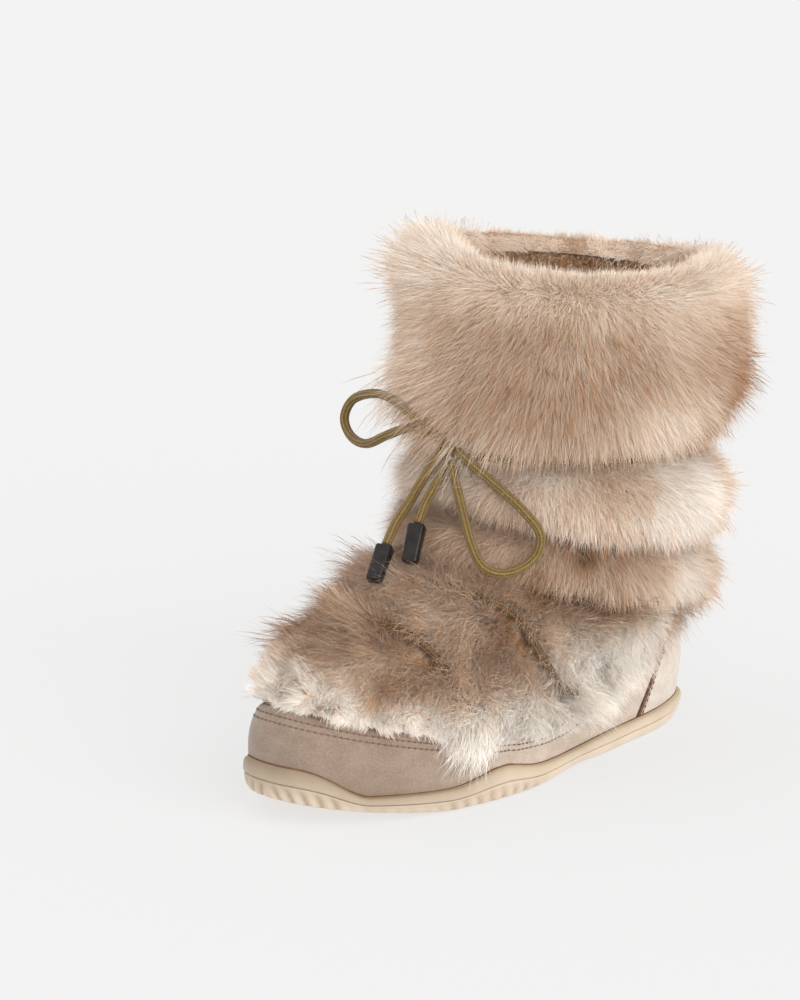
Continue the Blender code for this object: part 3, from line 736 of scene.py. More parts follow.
TIP_PLASTIC = tip_finish()
for end_name, tip_name in TIP_OF.items():
    tip = tip_mesh(tip_name + "_cap", FREE_CORDS[end_name][0][-1], TIP_AHEAD[tip_name])
    keep(tip_name + "_cap", tip, TIP_PLASTIC, "dark_plastic", tip_name)
for cord_name, (points, far_end) in FREE_CORDS.items():
    mesh, path = cord_mesh(cord_name + "_braid", points)
    piece = keep(cord_name + "_braid", mesh, BRAID, "olive_cord", cord_name)

# %% [markdown]
# ## Drawcord and knot
# The same cord runs round the shaft in the waist of the fur and is tied at the front. Only a little of it
# shows. The knot is what a bow really has: a turn of cord wrapped over the crossing, made from the cord's
# own sweep along a short closed route.

# %% Drawcord and knot
CINCH_DEPTH = 3.0
CINCH_LEAVE = math.radians(40)
CINCH_END = math.radians(6.2)
CINCH_POINTS = 44
KNOT_WRAP = (
    (1.5, -3.8, -3.4), (-2.6, -4.2, -1.0), (-4.0, -1.6, 2.8), (-3.4, 2.0, 4.2), (1.2, 3.6, 3.0),
    (3.2, 2.2, -1.5), (0.5, 1.6, -4.2), (-3.2, 3.6, -2.2), (-4.2, 4.6, 1.0), (-1.5, 5.0, 3.0),
)

turn = np.linspace(math.pi + CINCH_END, 3 * math.pi - CINCH_END, CINCH_POINTS)
near = smooth(math.pi - CINCH_LEAVE, math.pi - CINCH_END, np.abs(turn - FULL_TURN))
cinch_route = raised(level_at(turn, cinch_line(turn)), turn, mix(CINCH_DEPTH, KNOT_DEPTH, near))
keep("drawcord_braid", cord_mesh("drawcord_braid", cinch_route)[0], BRAID, "olive_cord", "drawcord")
wrap = knot + np.array(KNOT_WRAP)
keep("knot_wrap", cord_mesh("knot_wrap", wrap)[0], BRAID, "olive_cord", "drawcord_knot")
print("drawcord and knot")

# %% [markdown]
# ## Surface effects that materials share
# Suede, pile and rubber all vary in two ways: soft patches a centimetre wide, where the nap lies another
# way or the mould was worn, and a fine grain. One group makes both from noise in the piece's own
# coordinates, so that each material only sets sizes. A second group marks what lies low, which is how dust
# settles near the floor, and a third marks the toe, which lies in shade in the photograph.

# %% Shared shader groups
COARSE_SHARE = 0.3
TOE_DARKEST = -105.0
TOE_PALE = -10.0


def make_grain_group():
    """Soft patches, a fine grain, and a height made of both."""
    group, start, end = new_group(
        "grain",
        (("Patch Size", "NodeSocketFloat", 0.02), ("Grain Size", "NodeSocketFloat", 0.001),
         ("Stretch", "NodeSocketVector", (1.0, 1.0, 1.0))),
        (("Patch", "NodeSocketFloat"), ("Grain", "NodeSocketFloat"), ("Height", "NodeSocketFloat")),
    )
    space = vectors(group, "MULTIPLY", own_space(group), start.outputs["Stretch"])
    patch_scale = maths(group, "DIVIDE", 1.0, start.outputs["Patch Size"])
    grain_scale = maths(group, "DIVIDE", 1.0, start.outputs["Grain Size"])
    patch = add_node(group, "ShaderNodeTexNoise", {"Vector": space, "Scale": patch_scale, "Detail": 3.0})
    grain = add_node(group, "ShaderNodeTexNoise", {"Vector": space, "Scale": grain_scale, "Detail": 4.0})
    coarse = maths(group, "MULTIPLY", patch.outputs["Fac"], COARSE_SHARE)
    height = maths(group, "MULTIPLY_ADD", grain.outputs["Fac"], 1 - COARSE_SHARE, coarse)
    plug(group, end.inputs["Patch"], patch.outputs["Fac"])
    plug(group, end.inputs["Grain"], grain.outputs["Fac"])
    plug(group, end.inputs["Height"], height)
    return group


def make_dust_group():
    """A patchy mask that is strongest at the floor and ends at a height."""
    group, start, end = new_group(
        "dust", (("Top", "NodeSocketFloat", 0.03), ("Patch Size", "NodeSocketFloat", 0.02)),
        (("Mask", "NodeSocketFloat"),),
    )
    space = own_space(group)
    height = add_node(group, "ShaderNodeSeparateXYZ", {"Vector": space}).outputs["Z"]
    low = maths(group, "SUBTRACT", 1.0, maths(group, "DIVIDE", height, start.outputs["Top"]), clamp=True)
    scale = maths(group, "DIVIDE", 1.0, start.outputs["Patch Size"])
    noise = add_node(group, "ShaderNodeTexNoise", {"Vector": space, "Scale": scale, "Detail": 4.0})
    plug(group, end.inputs["Mask"], maths(group, "MULTIPLY", low, noise.outputs["Fac"]))
    return group


def make_toe_group():
    """The share of shade that the front of the boot lies in, from none at the ball to all at the toe."""
    group, _, end = new_group("toe_shade", (), (("Mask", "NodeSocketFloat"),))
    forward = add_node(group, "ShaderNodeSeparateXYZ", {"Vector": own_space(group)}).outputs["X"]
    reach = {
        "Value": forward, "From Min": TOE_DARKEST * MM, "From Max": TOE_PALE * MM,
        "To Min": 1.0, "To Max": 0.0,
    }
    mask = add_node(group, "ShaderNodeMapRange", reach, interpolation_type="SMOOTHSTEP").outputs[0]
    plug(group, end.inputs["Mask"], mask)
    return group


GRAIN = make_grain_group()
DUST = make_dust_group()
TOE_SHADE = make_toe_group()


def use_group(tree, group, **inputs):
    node = tree.nodes.new("ShaderNodeGroup")
    node.node_tree = group
    for name, value in inputs.items():
        plug(tree, node.inputs[name.replace("_", " ")], value)
    return node


print("groups:", GRAIN.name, DUST.name, TOE_SHADE.name)

# %% [markdown]
# ## Sole
# The sole is one moulding of cream rubber: a rounded lip, a fine groove under it, and a side that is
# scalloped at the ball and the toe so that it can bend. A profile of the side is swept round the outline of
# the last. The scallops follow the length of the outline and slant with the height, which a loop over an
# even angle would not give. Each point also notes how far down the side it lies and how deep in a valley,
# so that the material can paint the side brown with shade under the lip and in the valleys, and pale with
# painted light from the floor lower down.

# %% Sole sizes and lines
SOLE_TURNS = 420
SOLE_FINE = 3
SOLE_FLOOR = 5.0
LIP = 4.4
RIM = 11.0
RIM_SPRING = 0.45
RIM_TOE = 12.0
RIM_TOE_ANGLES = (math.radians(42), math.radians(8))
RIM_HEEL = 1.5
RIM_HEEL_PLACE = (0.0, 0.10)
RIM_BUMP = 5.5
RIM_BUMP_PLACE = (0.63, 0.07)
SIDE_COLUMNS = ("share", "inset", "ribbed")
SIDE_ROWS = (
    (0.00, 2.3, 0.0), (0.03, 1.2, 0.0), (0.08, 0.5, 0.0), (0.20, 0.1, 0.0), (0.32, 0.0, 0.0),
    (0.42, 0.2, 0.0), (0.445, 0.7, 0.0), (0.46, 1.3, 0.0), (0.475, 0.8, 0.0), (0.50, 0.4, 0.0),
    (0.60, 0.5, 0.6), (0.74, 1.0, 1.0), (0.84, 1.7, 1.0), (0.92, 2.6, 1.0), (0.97, 3.9, 0.8), (1.0, 5.5, 0.6),
)
RIB = 1.3
RIB_PITCH = 7.4
RIB_SLANT = 0.9
RIB_BALL = (0.50, 0.56, 0.73, 0.80)
RIB_TOE = (0.92, 0.95)
RIB_BETWEEN = 0.25
HEEL_ROLL = 6.0
HEEL_ROLL_END = 0.09
ARCH_LIFT = 2.0
ARCH_SPAN = (0.27, 0.41, 0.55)
FLOOR_SHARES = (0.5,)
TREAD_INSET = 11.5
TREAD_SHARES = (0.1, 0.2, 0.3, 0.4, 0.5, 0.6, 0.7, 0.8, 0.9)
TREAD_GROOVE = 1.5
TREAD_EVERY = 21
TREAD_CUT = 4
WALL_SPACE = 2.7
RIM_DIP = 0.3


def feather_along(turn):
    blunt = SECTIONS[int(FEATHER_LEVEL)][SECTION_COLUMNS.index("blunt")]
    return along_at(turn, blunt)


def rim_height(turn):
    """The top of the sole's rim, with its toe bumper, forefoot bump and heel."""
    along = feather_along(turn)
    wide, narrow = (math.cos(angle) for angle in RIM_TOE_ANGLES)
    return (
        RIM
        + RIM_SPRING * toe_spring(along)
        + RIM_TOE * smooth(wide, narrow, -np.cos(turn))
        + RIM_HEEL * hump(RIM_HEEL_PLACE, along)
        + RIM_BUMP * hump(RIM_BUMP_PLACE, along)
    )


def tread_height(along):
    start, middle, end = ARCH_SPAN
    return toe_spring(along) + ARCH_LIFT * (smooth(start, middle, along) - smooth(middle, end, along))


rims = rim_height(np.linspace(0, FULL_TURN, SOLE_TURNS))
print("rim of the sole from", rims.min().round(1), "to", rims.max().round(1), "mm up")

# %% Sole mesh
def side_point(turn, inset, height):
    """Points beside the sole's outline, which runs a lip's width outside the upper."""
    flat = outward(np.full(np.shape(turn), FEATHER_LEVEL), turn)
    flat[..., 2] = 0.0
    place = skin(FEATHER_LEVEL, turn) + unit(flat) * (LIP - inset)[..., None]
    place[..., 2] = height
    return place


def ladder(points, first, shares, groove, count):
    """Points and faces of rungs that close a ring of the sole; every few rungs lie in a groove."""
    half = SOLE_TURNS // 2
    spots, rungs, faces = [], [], []
    for step in range(1, half):
        left, right = first + step, first + SOLE_TURNS - step
        inner = [mix(points[left], points[right], share) for share in shares]
        if step % TREAD_EVERY < TREAD_CUT:
            for spot in inner:
                spot[2] += groove
        spots += inner
        rungs.append([left, *range(count, count + len(inner)), right])
        count += len(inner)
    for low, high in zip(rungs, rungs[1:]):
        for here in range(len(low) - 1):
            faces.append((low[here], high[here], high[here + 1], low[here + 1]))
    for end, rung in ((first, rungs[0]), (first + half, rungs[-1])):
        for here in range(len(rung) - 1):
            faces.append((end, rung[here], rung[here + 1]))
    return np.array(spots), faces


def build_sole():
    """The sole as one closed mesh: a swept side, and a ladder of rungs across its floor and its tread."""
    turn = np.linspace(0, FULL_TURN, SOLE_TURNS, endpoint=False)
    along = feather_along(turn)
    outline = side_point(turn, np.zeros(SOLE_TURNS), np.zeros(SOLE_TURNS))
    run = run_along(outline)
    ball_in, ball_on, ball_off, ball_out = RIB_BALL
    forward = smooth(ball_in, ball_on, along)
    ball = forward * (1 - smooth(ball_off, ball_out, along))
    zone = np.maximum(np.maximum(ball, smooth(*RIB_TOE, along)), RIB_BETWEEN * forward)
    rim = rim_height(turn)
    foot = tread_height(along) + HEEL_ROLL * (1 - smooth(0.0, HEEL_ROLL_END, along))
    floor_ring = raised(np.zeros(SOLE_TURNS), turn, np.full(SOLE_TURNS, WALL_SPACE))
    floor_ring[:, 2] = toe_spring(along) + SOLE_FLOOR
    brim = raised(level_at(turn, rim), turn, np.full(SOLE_TURNS, WALL_SPACE))
    brim[:, 2] = rim - RIM_DIP
    rings = [floor_ring, brim]
    drops = [0.0, 0.0]
    valleys = [np.zeros(SOLE_TURNS), np.zeros(SOLE_TURNS)]
    lean = np.where(np.sin(turn) >= 0, 1.0, -1.0)
    for place in np.linspace(0, len(SIDE_ROWS) - 1, (len(SIDE_ROWS) - 1) * SOLE_FINE + 1):
        size = dict(zip(SIDE_COLUMNS, table_at(SIDE_ROWS, place)))
        wave = np.abs(np.sin(math.pi * (run / RIB_PITCH + lean * RIB_SLANT * size["share"])))
        valley = size["ribbed"] * zone * (1 - wave)
        rings.append(side_point(turn, size["inset"] + RIB * valley, mix(rim, foot, size["share"])))
        drops.append(size["share"])
        valleys.append(valley)
    rings.append(side_point(turn, np.full(SOLE_TURNS, TREAD_INSET), tread_height(along)))
    drops.append(1.0)
    valleys.append(np.zeros(SOLE_TURNS))
    points = np.concatenate(rings)
    faces = grid_faces(len(rings), SOLE_TURNS, True)
    spots = points
    lowest = (len(rings) - 1) * SOLE_TURNS
    for first, shares, groove in ((0, FLOOR_SHARES, 0.0), (lowest, TREAD_SHARES, TREAD_GROOVE)):
        rungs, rung_faces = ladder(points, first, shares, groove, len(spots))
        spots = np.concatenate((spots, rungs))
        faces += rung_faces
    inside = np.ones(len(spots) - len(points))
    drop = np.concatenate((np.repeat(drops, SOLE_TURNS), inside))
    valley = np.concatenate((*valleys, 0 * inside))
    return outline_mesh("cream_sole", spots, faces, drop=drop, valley=valley)


sole = build_sole()
print("sole:", triangles(sole), "triangles")

# %% Sole rubber
RUBBER_TOE_SHADE = srgb(196, 191, 188)
RUBBER_SHADE = (
    (0.0, srgb(197, 189, 174)), (0.15, srgb(216, 210, 202)), (0.35, srgb(226, 222, 217)),
    (0.65, srgb(235, 232, 230)), (1.0, srgb(254, 252, 252)),
)
RUBBER_VALLEY_SHADE = srgb(160, 132, 100)
RUBBER_VALLEY_SHADE_SHARE = 0.75
RUBBER_DUST = srgb(190, 165, 132)
RUBBER_DUST_SHARE = 0.1
RUBBER_SMOOTHEST = 0.4
RUBBER_ROUGHER = 0.25


def rubber_finish():
    """Cream moulded rubber, a little chalky, with painted shade: browner under the upper's edge and in the
    scallops' valleys, darker at the toe, and paler down to the floor as painted light from it.
    """
    material, tree, shader = new_material("cream_rubber_moulded", specular=0.4)
    grain = use_group(tree, GRAIN, Patch_Size=0.012, Grain_Size=0.0009)
    dust = use_group(tree, DUST, Top=0.02, Patch_Size=0.006)
    tone = ramp(tree, grain.outputs["Patch"], ((0.3, srgb(230, 213, 190)), (0.7, srgb(240, 226, 206))))
    drop = add_node(tree, "ShaderNodeAttribute", attribute_name="drop").outputs["Fac"]
    upper_part = maths(tree, "SUBTRACT", 1.0, drop)
    # The upper part of the sole's front is darkened as painted shade.
    toeward = maths(tree, "MULTIPLY", use_group(tree, TOE_SHADE).outputs["Mask"], upper_part)
    tone = blend(tree, toeward, tone, blend(tree, 1.0, tone, RUBBER_TOE_SHADE, "MULTIPLY"))
    # The side is painted brown as shade under the lip and pale towards the floor as painted light from it.
    tone = blend(tree, 1.0, tone, ramp(tree, drop, RUBBER_SHADE), "MULTIPLY")
    valley = add_node(tree, "ShaderNodeAttribute", attribute_name="valley").outputs["Fac"]
    # The scallops' valleys are painted brown as shade.
    tone = blend(tree, maths(tree, "MULTIPLY", valley, RUBBER_VALLEY_SHADE_SHARE), tone, RUBBER_VALLEY_SHADE)
    dirty = blend(tree, maths(tree, "MULTIPLY", dust.outputs["Mask"], RUBBER_DUST_SHARE), tone, RUBBER_DUST)
    tree.links.new(dirty, shader.inputs["Base Color"])
    rough = maths(tree, "MULTIPLY_ADD", grain.outputs["Grain"], RUBBER_ROUGHER, RUBBER_SMOOTHEST)
    tree.links.new(rough, shader.inputs["Roughness"])
    bump(tree, shader, grain.outputs["Height"], distance=0.0002, strength=0.35)
    return material


RUBBER = rubber_finish()
keep("cream_sole", sole, RUBBER, "cream_rubber", "outsole")
print("material:", RUBBER.name)

# %% [markdown]
# ## Suede
# The foot is wrapped in a band of beige suede, and the heel has a piece of its own that meets it in a
# slanted seam. Each is a patch of the last between two lines, raised by the leather's thickness and rounded
# off at its edges. The soft creases where the foot bends are listed as rows of a table, because
# noise would put them where no foot bends. The nap is grain and bump.

# %% Suede sizes and lines
SUEDE_GAP = 0.6
RAND = 1.4
RAND_ROWS = 26
RAND_TURNS = 260
RAND_TUCK = 3.0
RAND_WAIST = 25.0
RAND_TOE = 50.0
RAND_HEEL = 60.0
RAND_LOW_PLACE = 0.48
RAND_TOE_POWER = 1.6
RAND_HEEL_POWER = 1.5
COUNTER = 1.5
COUNTER_ROWS = 34
COUNTER_TURNS = 90
SEAM_FOOT = (81.0, 12.0)
SEAM_LEAN = 0.61
SEAM_GAP = 0.012
EDGE_SHARE = 0.06
EDGE_THIN = 0.35
FUR_GAP = 0.9
ankle_line = tilted(64.0, 104.0)
CREASE_COLUMNS = ("x", "z", "lean", "half_width", "half_length", "depth")
CREASES = (
    (-58.0, 26.0, 0.5, 3.2, 14.0, 0.9),
    (-44.0, 27.0, 0.25, 3.6, 13.0, 1.1),
    (-30.0, 25.0, -0.1, 3.0, 11.0, 0.8),
    (-96.0, 33.0, 1.1, 4.5, 12.0, 0.7),
    (6.0, 22.0, -0.5, 4.0, 9.0, 0.5),
    (98.0, 30.0, -0.6, 4.5, 12.0, 0.6),
    (112.0, 42.0, 1.2, 4.0, 14.0, 0.6),
)
CREASE_RIDGE = 0.6


def rand_height(turn):
    """The stitched top line of the suede rand."""
    along = feather_along(turn)
    front = np.maximum(0.0, (along - RAND_LOW_PLACE) / (1 - RAND_LOW_PLACE)) ** RAND_TOE_POWER
    back = np.maximum(0.0, (RAND_LOW_PLACE - along) / RAND_LOW_PLACE) ** RAND_HEEL_POWER
    return RAND_WAIST + (RAND_TOE - RAND_WAIST) * front + (RAND_HEEL - RAND_WAIST) * back


def rand_lines(turn):
    return rim_height(turn) - RAND_TUCK, rand_height(turn)


def counter_lines(turn):
    return rim_height(turn) - RAND_TUCK, ankle_line(turn) - FUR_GAP


def seam_turn(lines, share):
    """The turns of the slanted heel seam, on the outer side, at shares between two lines."""
    place, foot = SEAM_FOOT
    share = np.asarray(share, float)
    low = np.zeros(share.shape)
    high = np.full(share.shape, math.pi / 2)
    for _ in range(SEARCH_ROUNDS):
        middle = (low + high) / 2
        height = mix(*lines(middle), share)
        behind = skin(level_at(middle, height), middle)[..., 0] > place + SEAM_LEAN * (height - foot)
        low = np.where(behind, middle, low)
        high = np.where(behind, high, middle)
    return (low + high) / 2


print("heel seam at", np.degrees(seam_turn(rand_lines, 0.0)).round(1), "degrees from the back")

# %% Suede panels
def crease_depth(points):
    """How far the listed creases draw the suede in, with a low ridge beside each."""
    sunk = np.zeros(points.shape[:-1])
    for row in CREASES:
        size = dict(zip(CREASE_COLUMNS, row))
        x = points[..., 0] - size["x"]
        z = points[..., 2] - size["z"]
        across = x * math.cos(size["lean"]) + z * math.sin(size["lean"])
        along = z * math.cos(size["lean"]) - x * math.sin(size["lean"])
        fade = np.exp(-((along / size["half_length"]) ** 2))
        trough = np.exp(-((across / size["half_width"]) ** 2))
        ridge = np.exp(-(((across - 2 * size["half_width"]) / size["half_width"]) ** 2))
        sunk += size["depth"] * fade * (trough - CREASE_RIDGE * ridge)
    return sunk


def build_panel(name, rows, columns, ends, lines, thick):
    """A closed suede patch between two seams and two lines, with soft edges and creases."""
    share = np.linspace(0, 1, rows)[:, None]
    across = np.linspace(0, 1, columns)[None, :]
    turn = mix(*ends(share), across)
    level = level_at(turn, mix(*lines(turn), share))
    edge = np.minimum(1 - share, np.minimum(across, 1 - across) * columns / rows)
    rounding = np.sqrt(np.clip(edge / EDGE_SHARE, 0.0, 1.0))
    base = skin(level, turn)
    over = thick * mix(EDGE_THIN, 1.0, rounding) - crease_depth(base) * rounding
    normal = outward(level, turn)
    outer = base + normal * (SUEDE_GAP + over)[..., None]
    inner = base + normal * SUEDE_GAP
    return outline_mesh(name, *slab(outer, inner))


def rand_ends(share):
    seam = seam_turn(rand_lines, share) + SEAM_GAP
    return seam, FULL_TURN - seam


def counter_ends(share):
    seam = seam_turn(counter_lines, share)
    return -seam, seam


rand = build_panel("suede_rand_band", RAND_ROWS, RAND_TURNS, rand_ends, rand_lines, RAND)
counter = build_panel("suede_heel", COUNTER_ROWS, COUNTER_TURNS, counter_ends, counter_lines, COUNTER)
print("suede:", triangles(rand) + triangles(counter), "triangles")

# %% Suede material
SUEDE_FLECKS = 0.6
SUEDE_FLECK_HEIGHT = 0.5
SUEDE_TOE_SHADE = srgb(182, 173, 166)
SUEDE_DUST = srgb(150, 126, 106)
SUEDE_DUST_SHARE = 0.55


def suede_finish(name, dark, light, pale):
    """Napped suede: brushed patches, fine fibres, a toe darkened as painted shade and dust by the sole."""
    material, tree, shader = new_material(
        name, roughness=0.92, specular=0.15, Sheen_Weight=0.35, Sheen_Roughness=0.6,
    )
    grain = use_group(tree, GRAIN, Patch_Size=0.009, Grain_Size=0.0011, Stretch=(1.0, 1.0, 1.6))
    flecks = use_group(tree, GRAIN, Patch_Size=0.0009, Grain_Size=0.0004)
    mixed = maths(tree, "MULTIPLY", grain.outputs["Patch"], 1 - SUEDE_FLECKS)
    mixed = maths(tree, "MULTIPLY_ADD", flecks.outputs["Patch"], SUEDE_FLECKS, mixed)
    tone = ramp(tree, mixed, ((0.4, dark), (0.5, light), (0.6, pale)))
    # The toe of the suede is darkened as painted shade.
    toeward = use_group(tree, TOE_SHADE).outputs["Mask"]
    tone = blend(tree, toeward, tone, blend(tree, 1.0, tone, SUEDE_TOE_SHADE, "MULTIPLY"))
    dust = use_group(tree, DUST, Top=0.035, Patch_Size=0.008)
    tone = blend(tree, maths(tree, "MULTIPLY", dust.outputs["Mask"], SUEDE_DUST_SHARE), tone, SUEDE_DUST)
    tree.links.new(tone, shader.inputs["Base Color"])
    fleck_height = maths(tree, "MULTIPLY", flecks.outputs["Grain"], SUEDE_FLECK_HEIGHT)
    height = maths(tree, "ADD", grain.outputs["Height"], fleck_height)
    bump(tree, shader, height, distance=0.0005, strength=0.55)
    return material


SUEDE = suede_finish("beige_suede", srgb(192, 172, 154), srgb(202, 184, 167), srgb(212, 196, 181))
HEEL_SUEDE = suede_finish("heel_suede_nap", srgb(207, 192, 177), srgb(216, 203, 189), srgb(224, 213, 200))
keep("suede_rand_band", rand, SUEDE, "suede", "suede_rand")
keep("suede_heel", counter, HEEL_SUEDE, "heel_suede", "heel_counter")
print("materials:", SUEDE.name, HEEL_SUEDE.name)

# %% [markdown]
# ## Shaft, lining and footbed
# Inside the collar the boot is lined with curly wool pile. The wall is one surface of the last with its
# thickness, turned over at the collar. Its pile is grown later, with the fur. The footbed lies at the bottom
# and shows only from above.

# %% Shaft wall and footbed
WALL = 3.0
WALL_TURNS = 80
WALL_ROWS = 44
INSOLE_RINGS = ((0.3, 0.0), (3.4, 0.0), (4.2, 0.5), (4.5, 1.6))
INSOLE_GAP = 0.7
INSOLE_TURNS = 120


def build_wall():
    """The upper's wall: the outside up, over the collar and down inside."""
    turn = np.linspace(0, FULL_TURN, WALL_TURNS, endpoint=False)[None, :]
    level = np.linspace(0, COLLAR_LEVEL, WALL_ROWS)[:, None]
    outer = raised(level, turn, np.zeros((WALL_ROWS, WALL_TURNS)))
    inner = raised(level, turn, np.full((WALL_ROWS, WALL_TURNS), -WALL))[::-1]
    rings = np.concatenate((outer, inner, outer[:1]))
    faces = grid_faces(len(rings), WALL_TURNS, True)
    return outline_mesh("boot_wall", rings.reshape(-1, 3), faces)


def build_footbed():
    """A soft-edged pad on the sole's floor, from rings of a lift and an inset."""
    turn = np.linspace(0, FULL_TURN, INSOLE_TURNS, endpoint=False)
    along = feather_along(turn)
    rings = []
    for lift, inset in INSOLE_RINGS:
        ring = raised(np.zeros(INSOLE_TURNS), turn, np.full(INSOLE_TURNS, -WALL - INSOLE_GAP - inset))
        ring[:, 2] = toe_spring(along) + SOLE_FLOOR + lift
        rings.append(ring)
    faces = grid_faces(len(rings), INSOLE_TURNS, True)
    for first in (0, (len(rings) - 1) * INSOLE_TURNS):
        half = INSOLE_TURNS // 2
        for step in range(half):
            here, beyond = first + step, first + step + 1
            there = first + (INSOLE_TURNS - step) % INSOLE_TURNS
            opposite = first + INSOLE_TURNS - step - 1
            corners = [here, beyond, opposite, there]
            faces.append(tuple(dict.fromkeys(corners)))
    return outline_mesh("footbed_pad", np.concatenate(rings), faces)


def pile_finish(name, dark, light):
    """Short wool pile: curls as noise in colour and height."""
    material, tree, shader = new_material(name, roughness=0.95, specular=0.1, Sheen_Weight=0.3)
    grain = use_group(tree, GRAIN, Patch_Size=0.01, Grain_Size=0.0018)
    tone = ramp(tree, grain.outputs["Grain"], ((0.35, dark), (0.65, light)))
    tree.links.new(tone, shader.inputs["Base Color"])
    bump(tree, shader, grain.outputs["Height"], distance=0.002, strength=0.8)
    return material


WALL_PILE = pile_finish("wall_pile", srgb(132, 104, 78), srgb(186, 160, 132))
keep("boot_wall", build_wall(), WALL_PILE, "lined_suede", "upper")
FOOTBED_PILE = pile_finish("footbed_pile", srgb(140, 114, 90), srgb(196, 172, 146))
keep("footbed_pad", build_footbed(), FOOTBED_PILE, "footbed", "insole")
print("wall and footbed")

# %% [markdown]
# ## Laces over the vamp
# A lace crosses the vamp's fur three times. It lies in the same places as the solids: degrees from the toe
# and shares of the vamp's height, from the middle outward, at the depth of the coat. The stretches that
# show are named too, because the hair has to part there and cover the lace elsewhere.

# %% Laces
VAMP_DEPTHS = ((0.0, 3.0), (0.12, 8.0), (0.28, 12.5), (0.45, 15.0), (0.62, 15.5), (0.80, 13.0), (1.0, 4.0))
VAMP_END = 0.12
VAMP_END_DEPTH = 0.3
LACES = {
    "vamp_lace_front": ((0, 0.42), (22, 0.43), (42, 0.38), (57, 0.26), (67, 0.13)),
    "vamp_lace_middle": ((0, 0.70), (28, 0.75), (52, 0.72), (74, 0.52), (92, 0.24)),
    "vamp_lace_back": ((58, 0.93), (76, 0.92), (94, 0.88), (110, 0.82)),
}
LACE_SHOWS = {"vamp_lace_front": (19, 45), "vamp_lace_middle": (44, 90), "vamp_lace_back": (58, 92)}
LACE_SPREAD = 60.0
LACE_SPACING = 4.0
LACE_REST = -1.6


def vamp_lines(turn):
    return rand_height(turn) + FUR_GAP, ankle_line(turn) - FUR_GAP


def vamp_edge(across):
    """The share of its depth that the vamp's coat keeps near its two ends."""
    return mix(VAMP_END_DEPTH, 1.0, smooth(0.0, VAMP_END, np.minimum(across, 1 - across)))


def lace_points(angles, shares):
    """Points of a lace on the coat, from degrees from the toe and shares of the height."""
    turn = math.pi - np.radians(angles)
    seam = seam_turn(vamp_lines, shares)
    across = (turn - seam) / (FULL_TURN - 2 * seam)
    places, depths = zip(*VAMP_DEPTHS)
    depth = np.interp(shares, places, depths) * vamp_edge(across) + CORD / 2 + LACE_REST
    return raised(level_at(turn, mix(*vamp_lines(turn), shares)), turn, depth)


LACE_BRAID = braid_finish("shaded_braid", srgb(52, 36, 20), srgb(92, 68, 40), srgb(134, 106, 68))
lace_shown, lace_covered = [], []
for lace_name, rows in LACES.items():
    half = smooth_route([(angle, share * LACE_SPREAD, 0.0) for angle, share in rows], LACE_SPACING)
    angles, shares = half[:, 0], half[:, 1] / LACE_SPREAD
    first, last = LACE_SHOWS[lace_name]
    shows = (angles >= first) & (angles <= last)
    outer, inner = lace_points(angles, shares), lace_points(-angles, shares)
    lace_shown.append(np.concatenate((outer[shows], inner[shows])))
    lace_covered.append(np.concatenate((outer[~shows], inner[~shows])))
    if rows[0][0] == 0:
        runs = {lace_name: np.concatenate((outer[::-1], inner[1:]))}
    else:
        runs = {lace_name + "_outer": outer, lace_name + "_inner": inner}
    for node, route in runs.items():
        keep(node + "_braid", cord_mesh(node + "_braid", route)[0], LACE_BRAID, "olive_cord", node)
lace_shown = np.concatenate(lace_shown)
lace_covered = np.concatenate(lace_covered)
print("laces:", len(lace_shown), "points show,", len(lace_covered), "are covered")

# %% [markdown]
# ## Fur: the coats
# The fur is sewn in four pieces: a vamp over the foot, two bands round the ankle and a deep cuff. Each one
# is a skin with hair on it. A table gives every coat a row for each height: how deep it is, how far its hair
# lies down, how high it lifts and how brown it is, which in places also carries painted light and shade.
# From it come two meshes: a closed core, which keeps light from shining through, and an open pelt that
# carries the combing as attributes for the hair to read.

# %% Coats
COAT_COLUMNS = ("share", "rise", "depth", "down", "lift", "tone")
ANKLE_COAT = (
    (0.00, 0.0, 10.0, 11.0, 6.0, 0.56), (0.28, 0.0, 17.5, 14.0, 9.0, 0.46),
    (0.60, 0.0, 16.5, 15.0, 9.0, 0.42), (1.00, 0.0, 4.0, 15.0, 8.0, 0.46),
)
# The middle band's tone is painted lighter at its top, against the cuff's shadow over it, and darker at its
# lower lip, which catches the light.
MIDDLE_COAT = (
    (0.00, 0.0, 10.0, 8.0, 7.0, 0.36), (0.22, 0.0, 18.0, 12.0, 9.0, 0.31),
    (0.55, 0.0, 19.5, 15.0, 10.0, 0.18), (0.84, 0.0, 12.0, 15.0, 9.0, 0.12),
    (1.00, 0.0, 2.2, 13.0, 8.0, 0.12),
)
CUFF_COAT = (
    (0.00, 0.0, 2.2, 14.0, 8.0, 0.46), (0.11, 0.0, 11.5, 16.0, 8.0, 0.44),
    (0.28, 0.0, 19.0, 15.0, 10.0, 0.52), (0.50, 0.0, 22.0, 14.0, 11.0, 0.54),
    (0.72, 0.0, 22.0, 10.0, 11.0, 0.48), (0.92, 0.0, 19.0, 4.5, 12.0, 0.24),
    (1.00, 7.0, 11.5, 0.0, 10.0, 0.18), (1.00, 11.0, 1.0, -2.0, 3.5, 0.20), (1.00, 0.0, -6.8, -3.0, 1.5, 0.5),
)
VAMP_COAT = tuple(
    (share, 0.0, depth, down, lift, tone)
    for (share, depth), (down, lift, tone) in zip(VAMP_DEPTHS, (
        (9.0, 4.0, 0.0), (10.0, 8.0, 0.04), (12.0, 10.0, 0.34), (13.0, 10.0, 0.44), (13.0, 10.0, 0.38),
        (12.0, 9.0, 0.42), (10.0, 6.0, 0.55),
    ))
)
BAND_GAP = 0.8
VAMP_SEAM_GAP = 0.048
CINCH_HALF = 3.4
ROOT_SHARE = 0.68
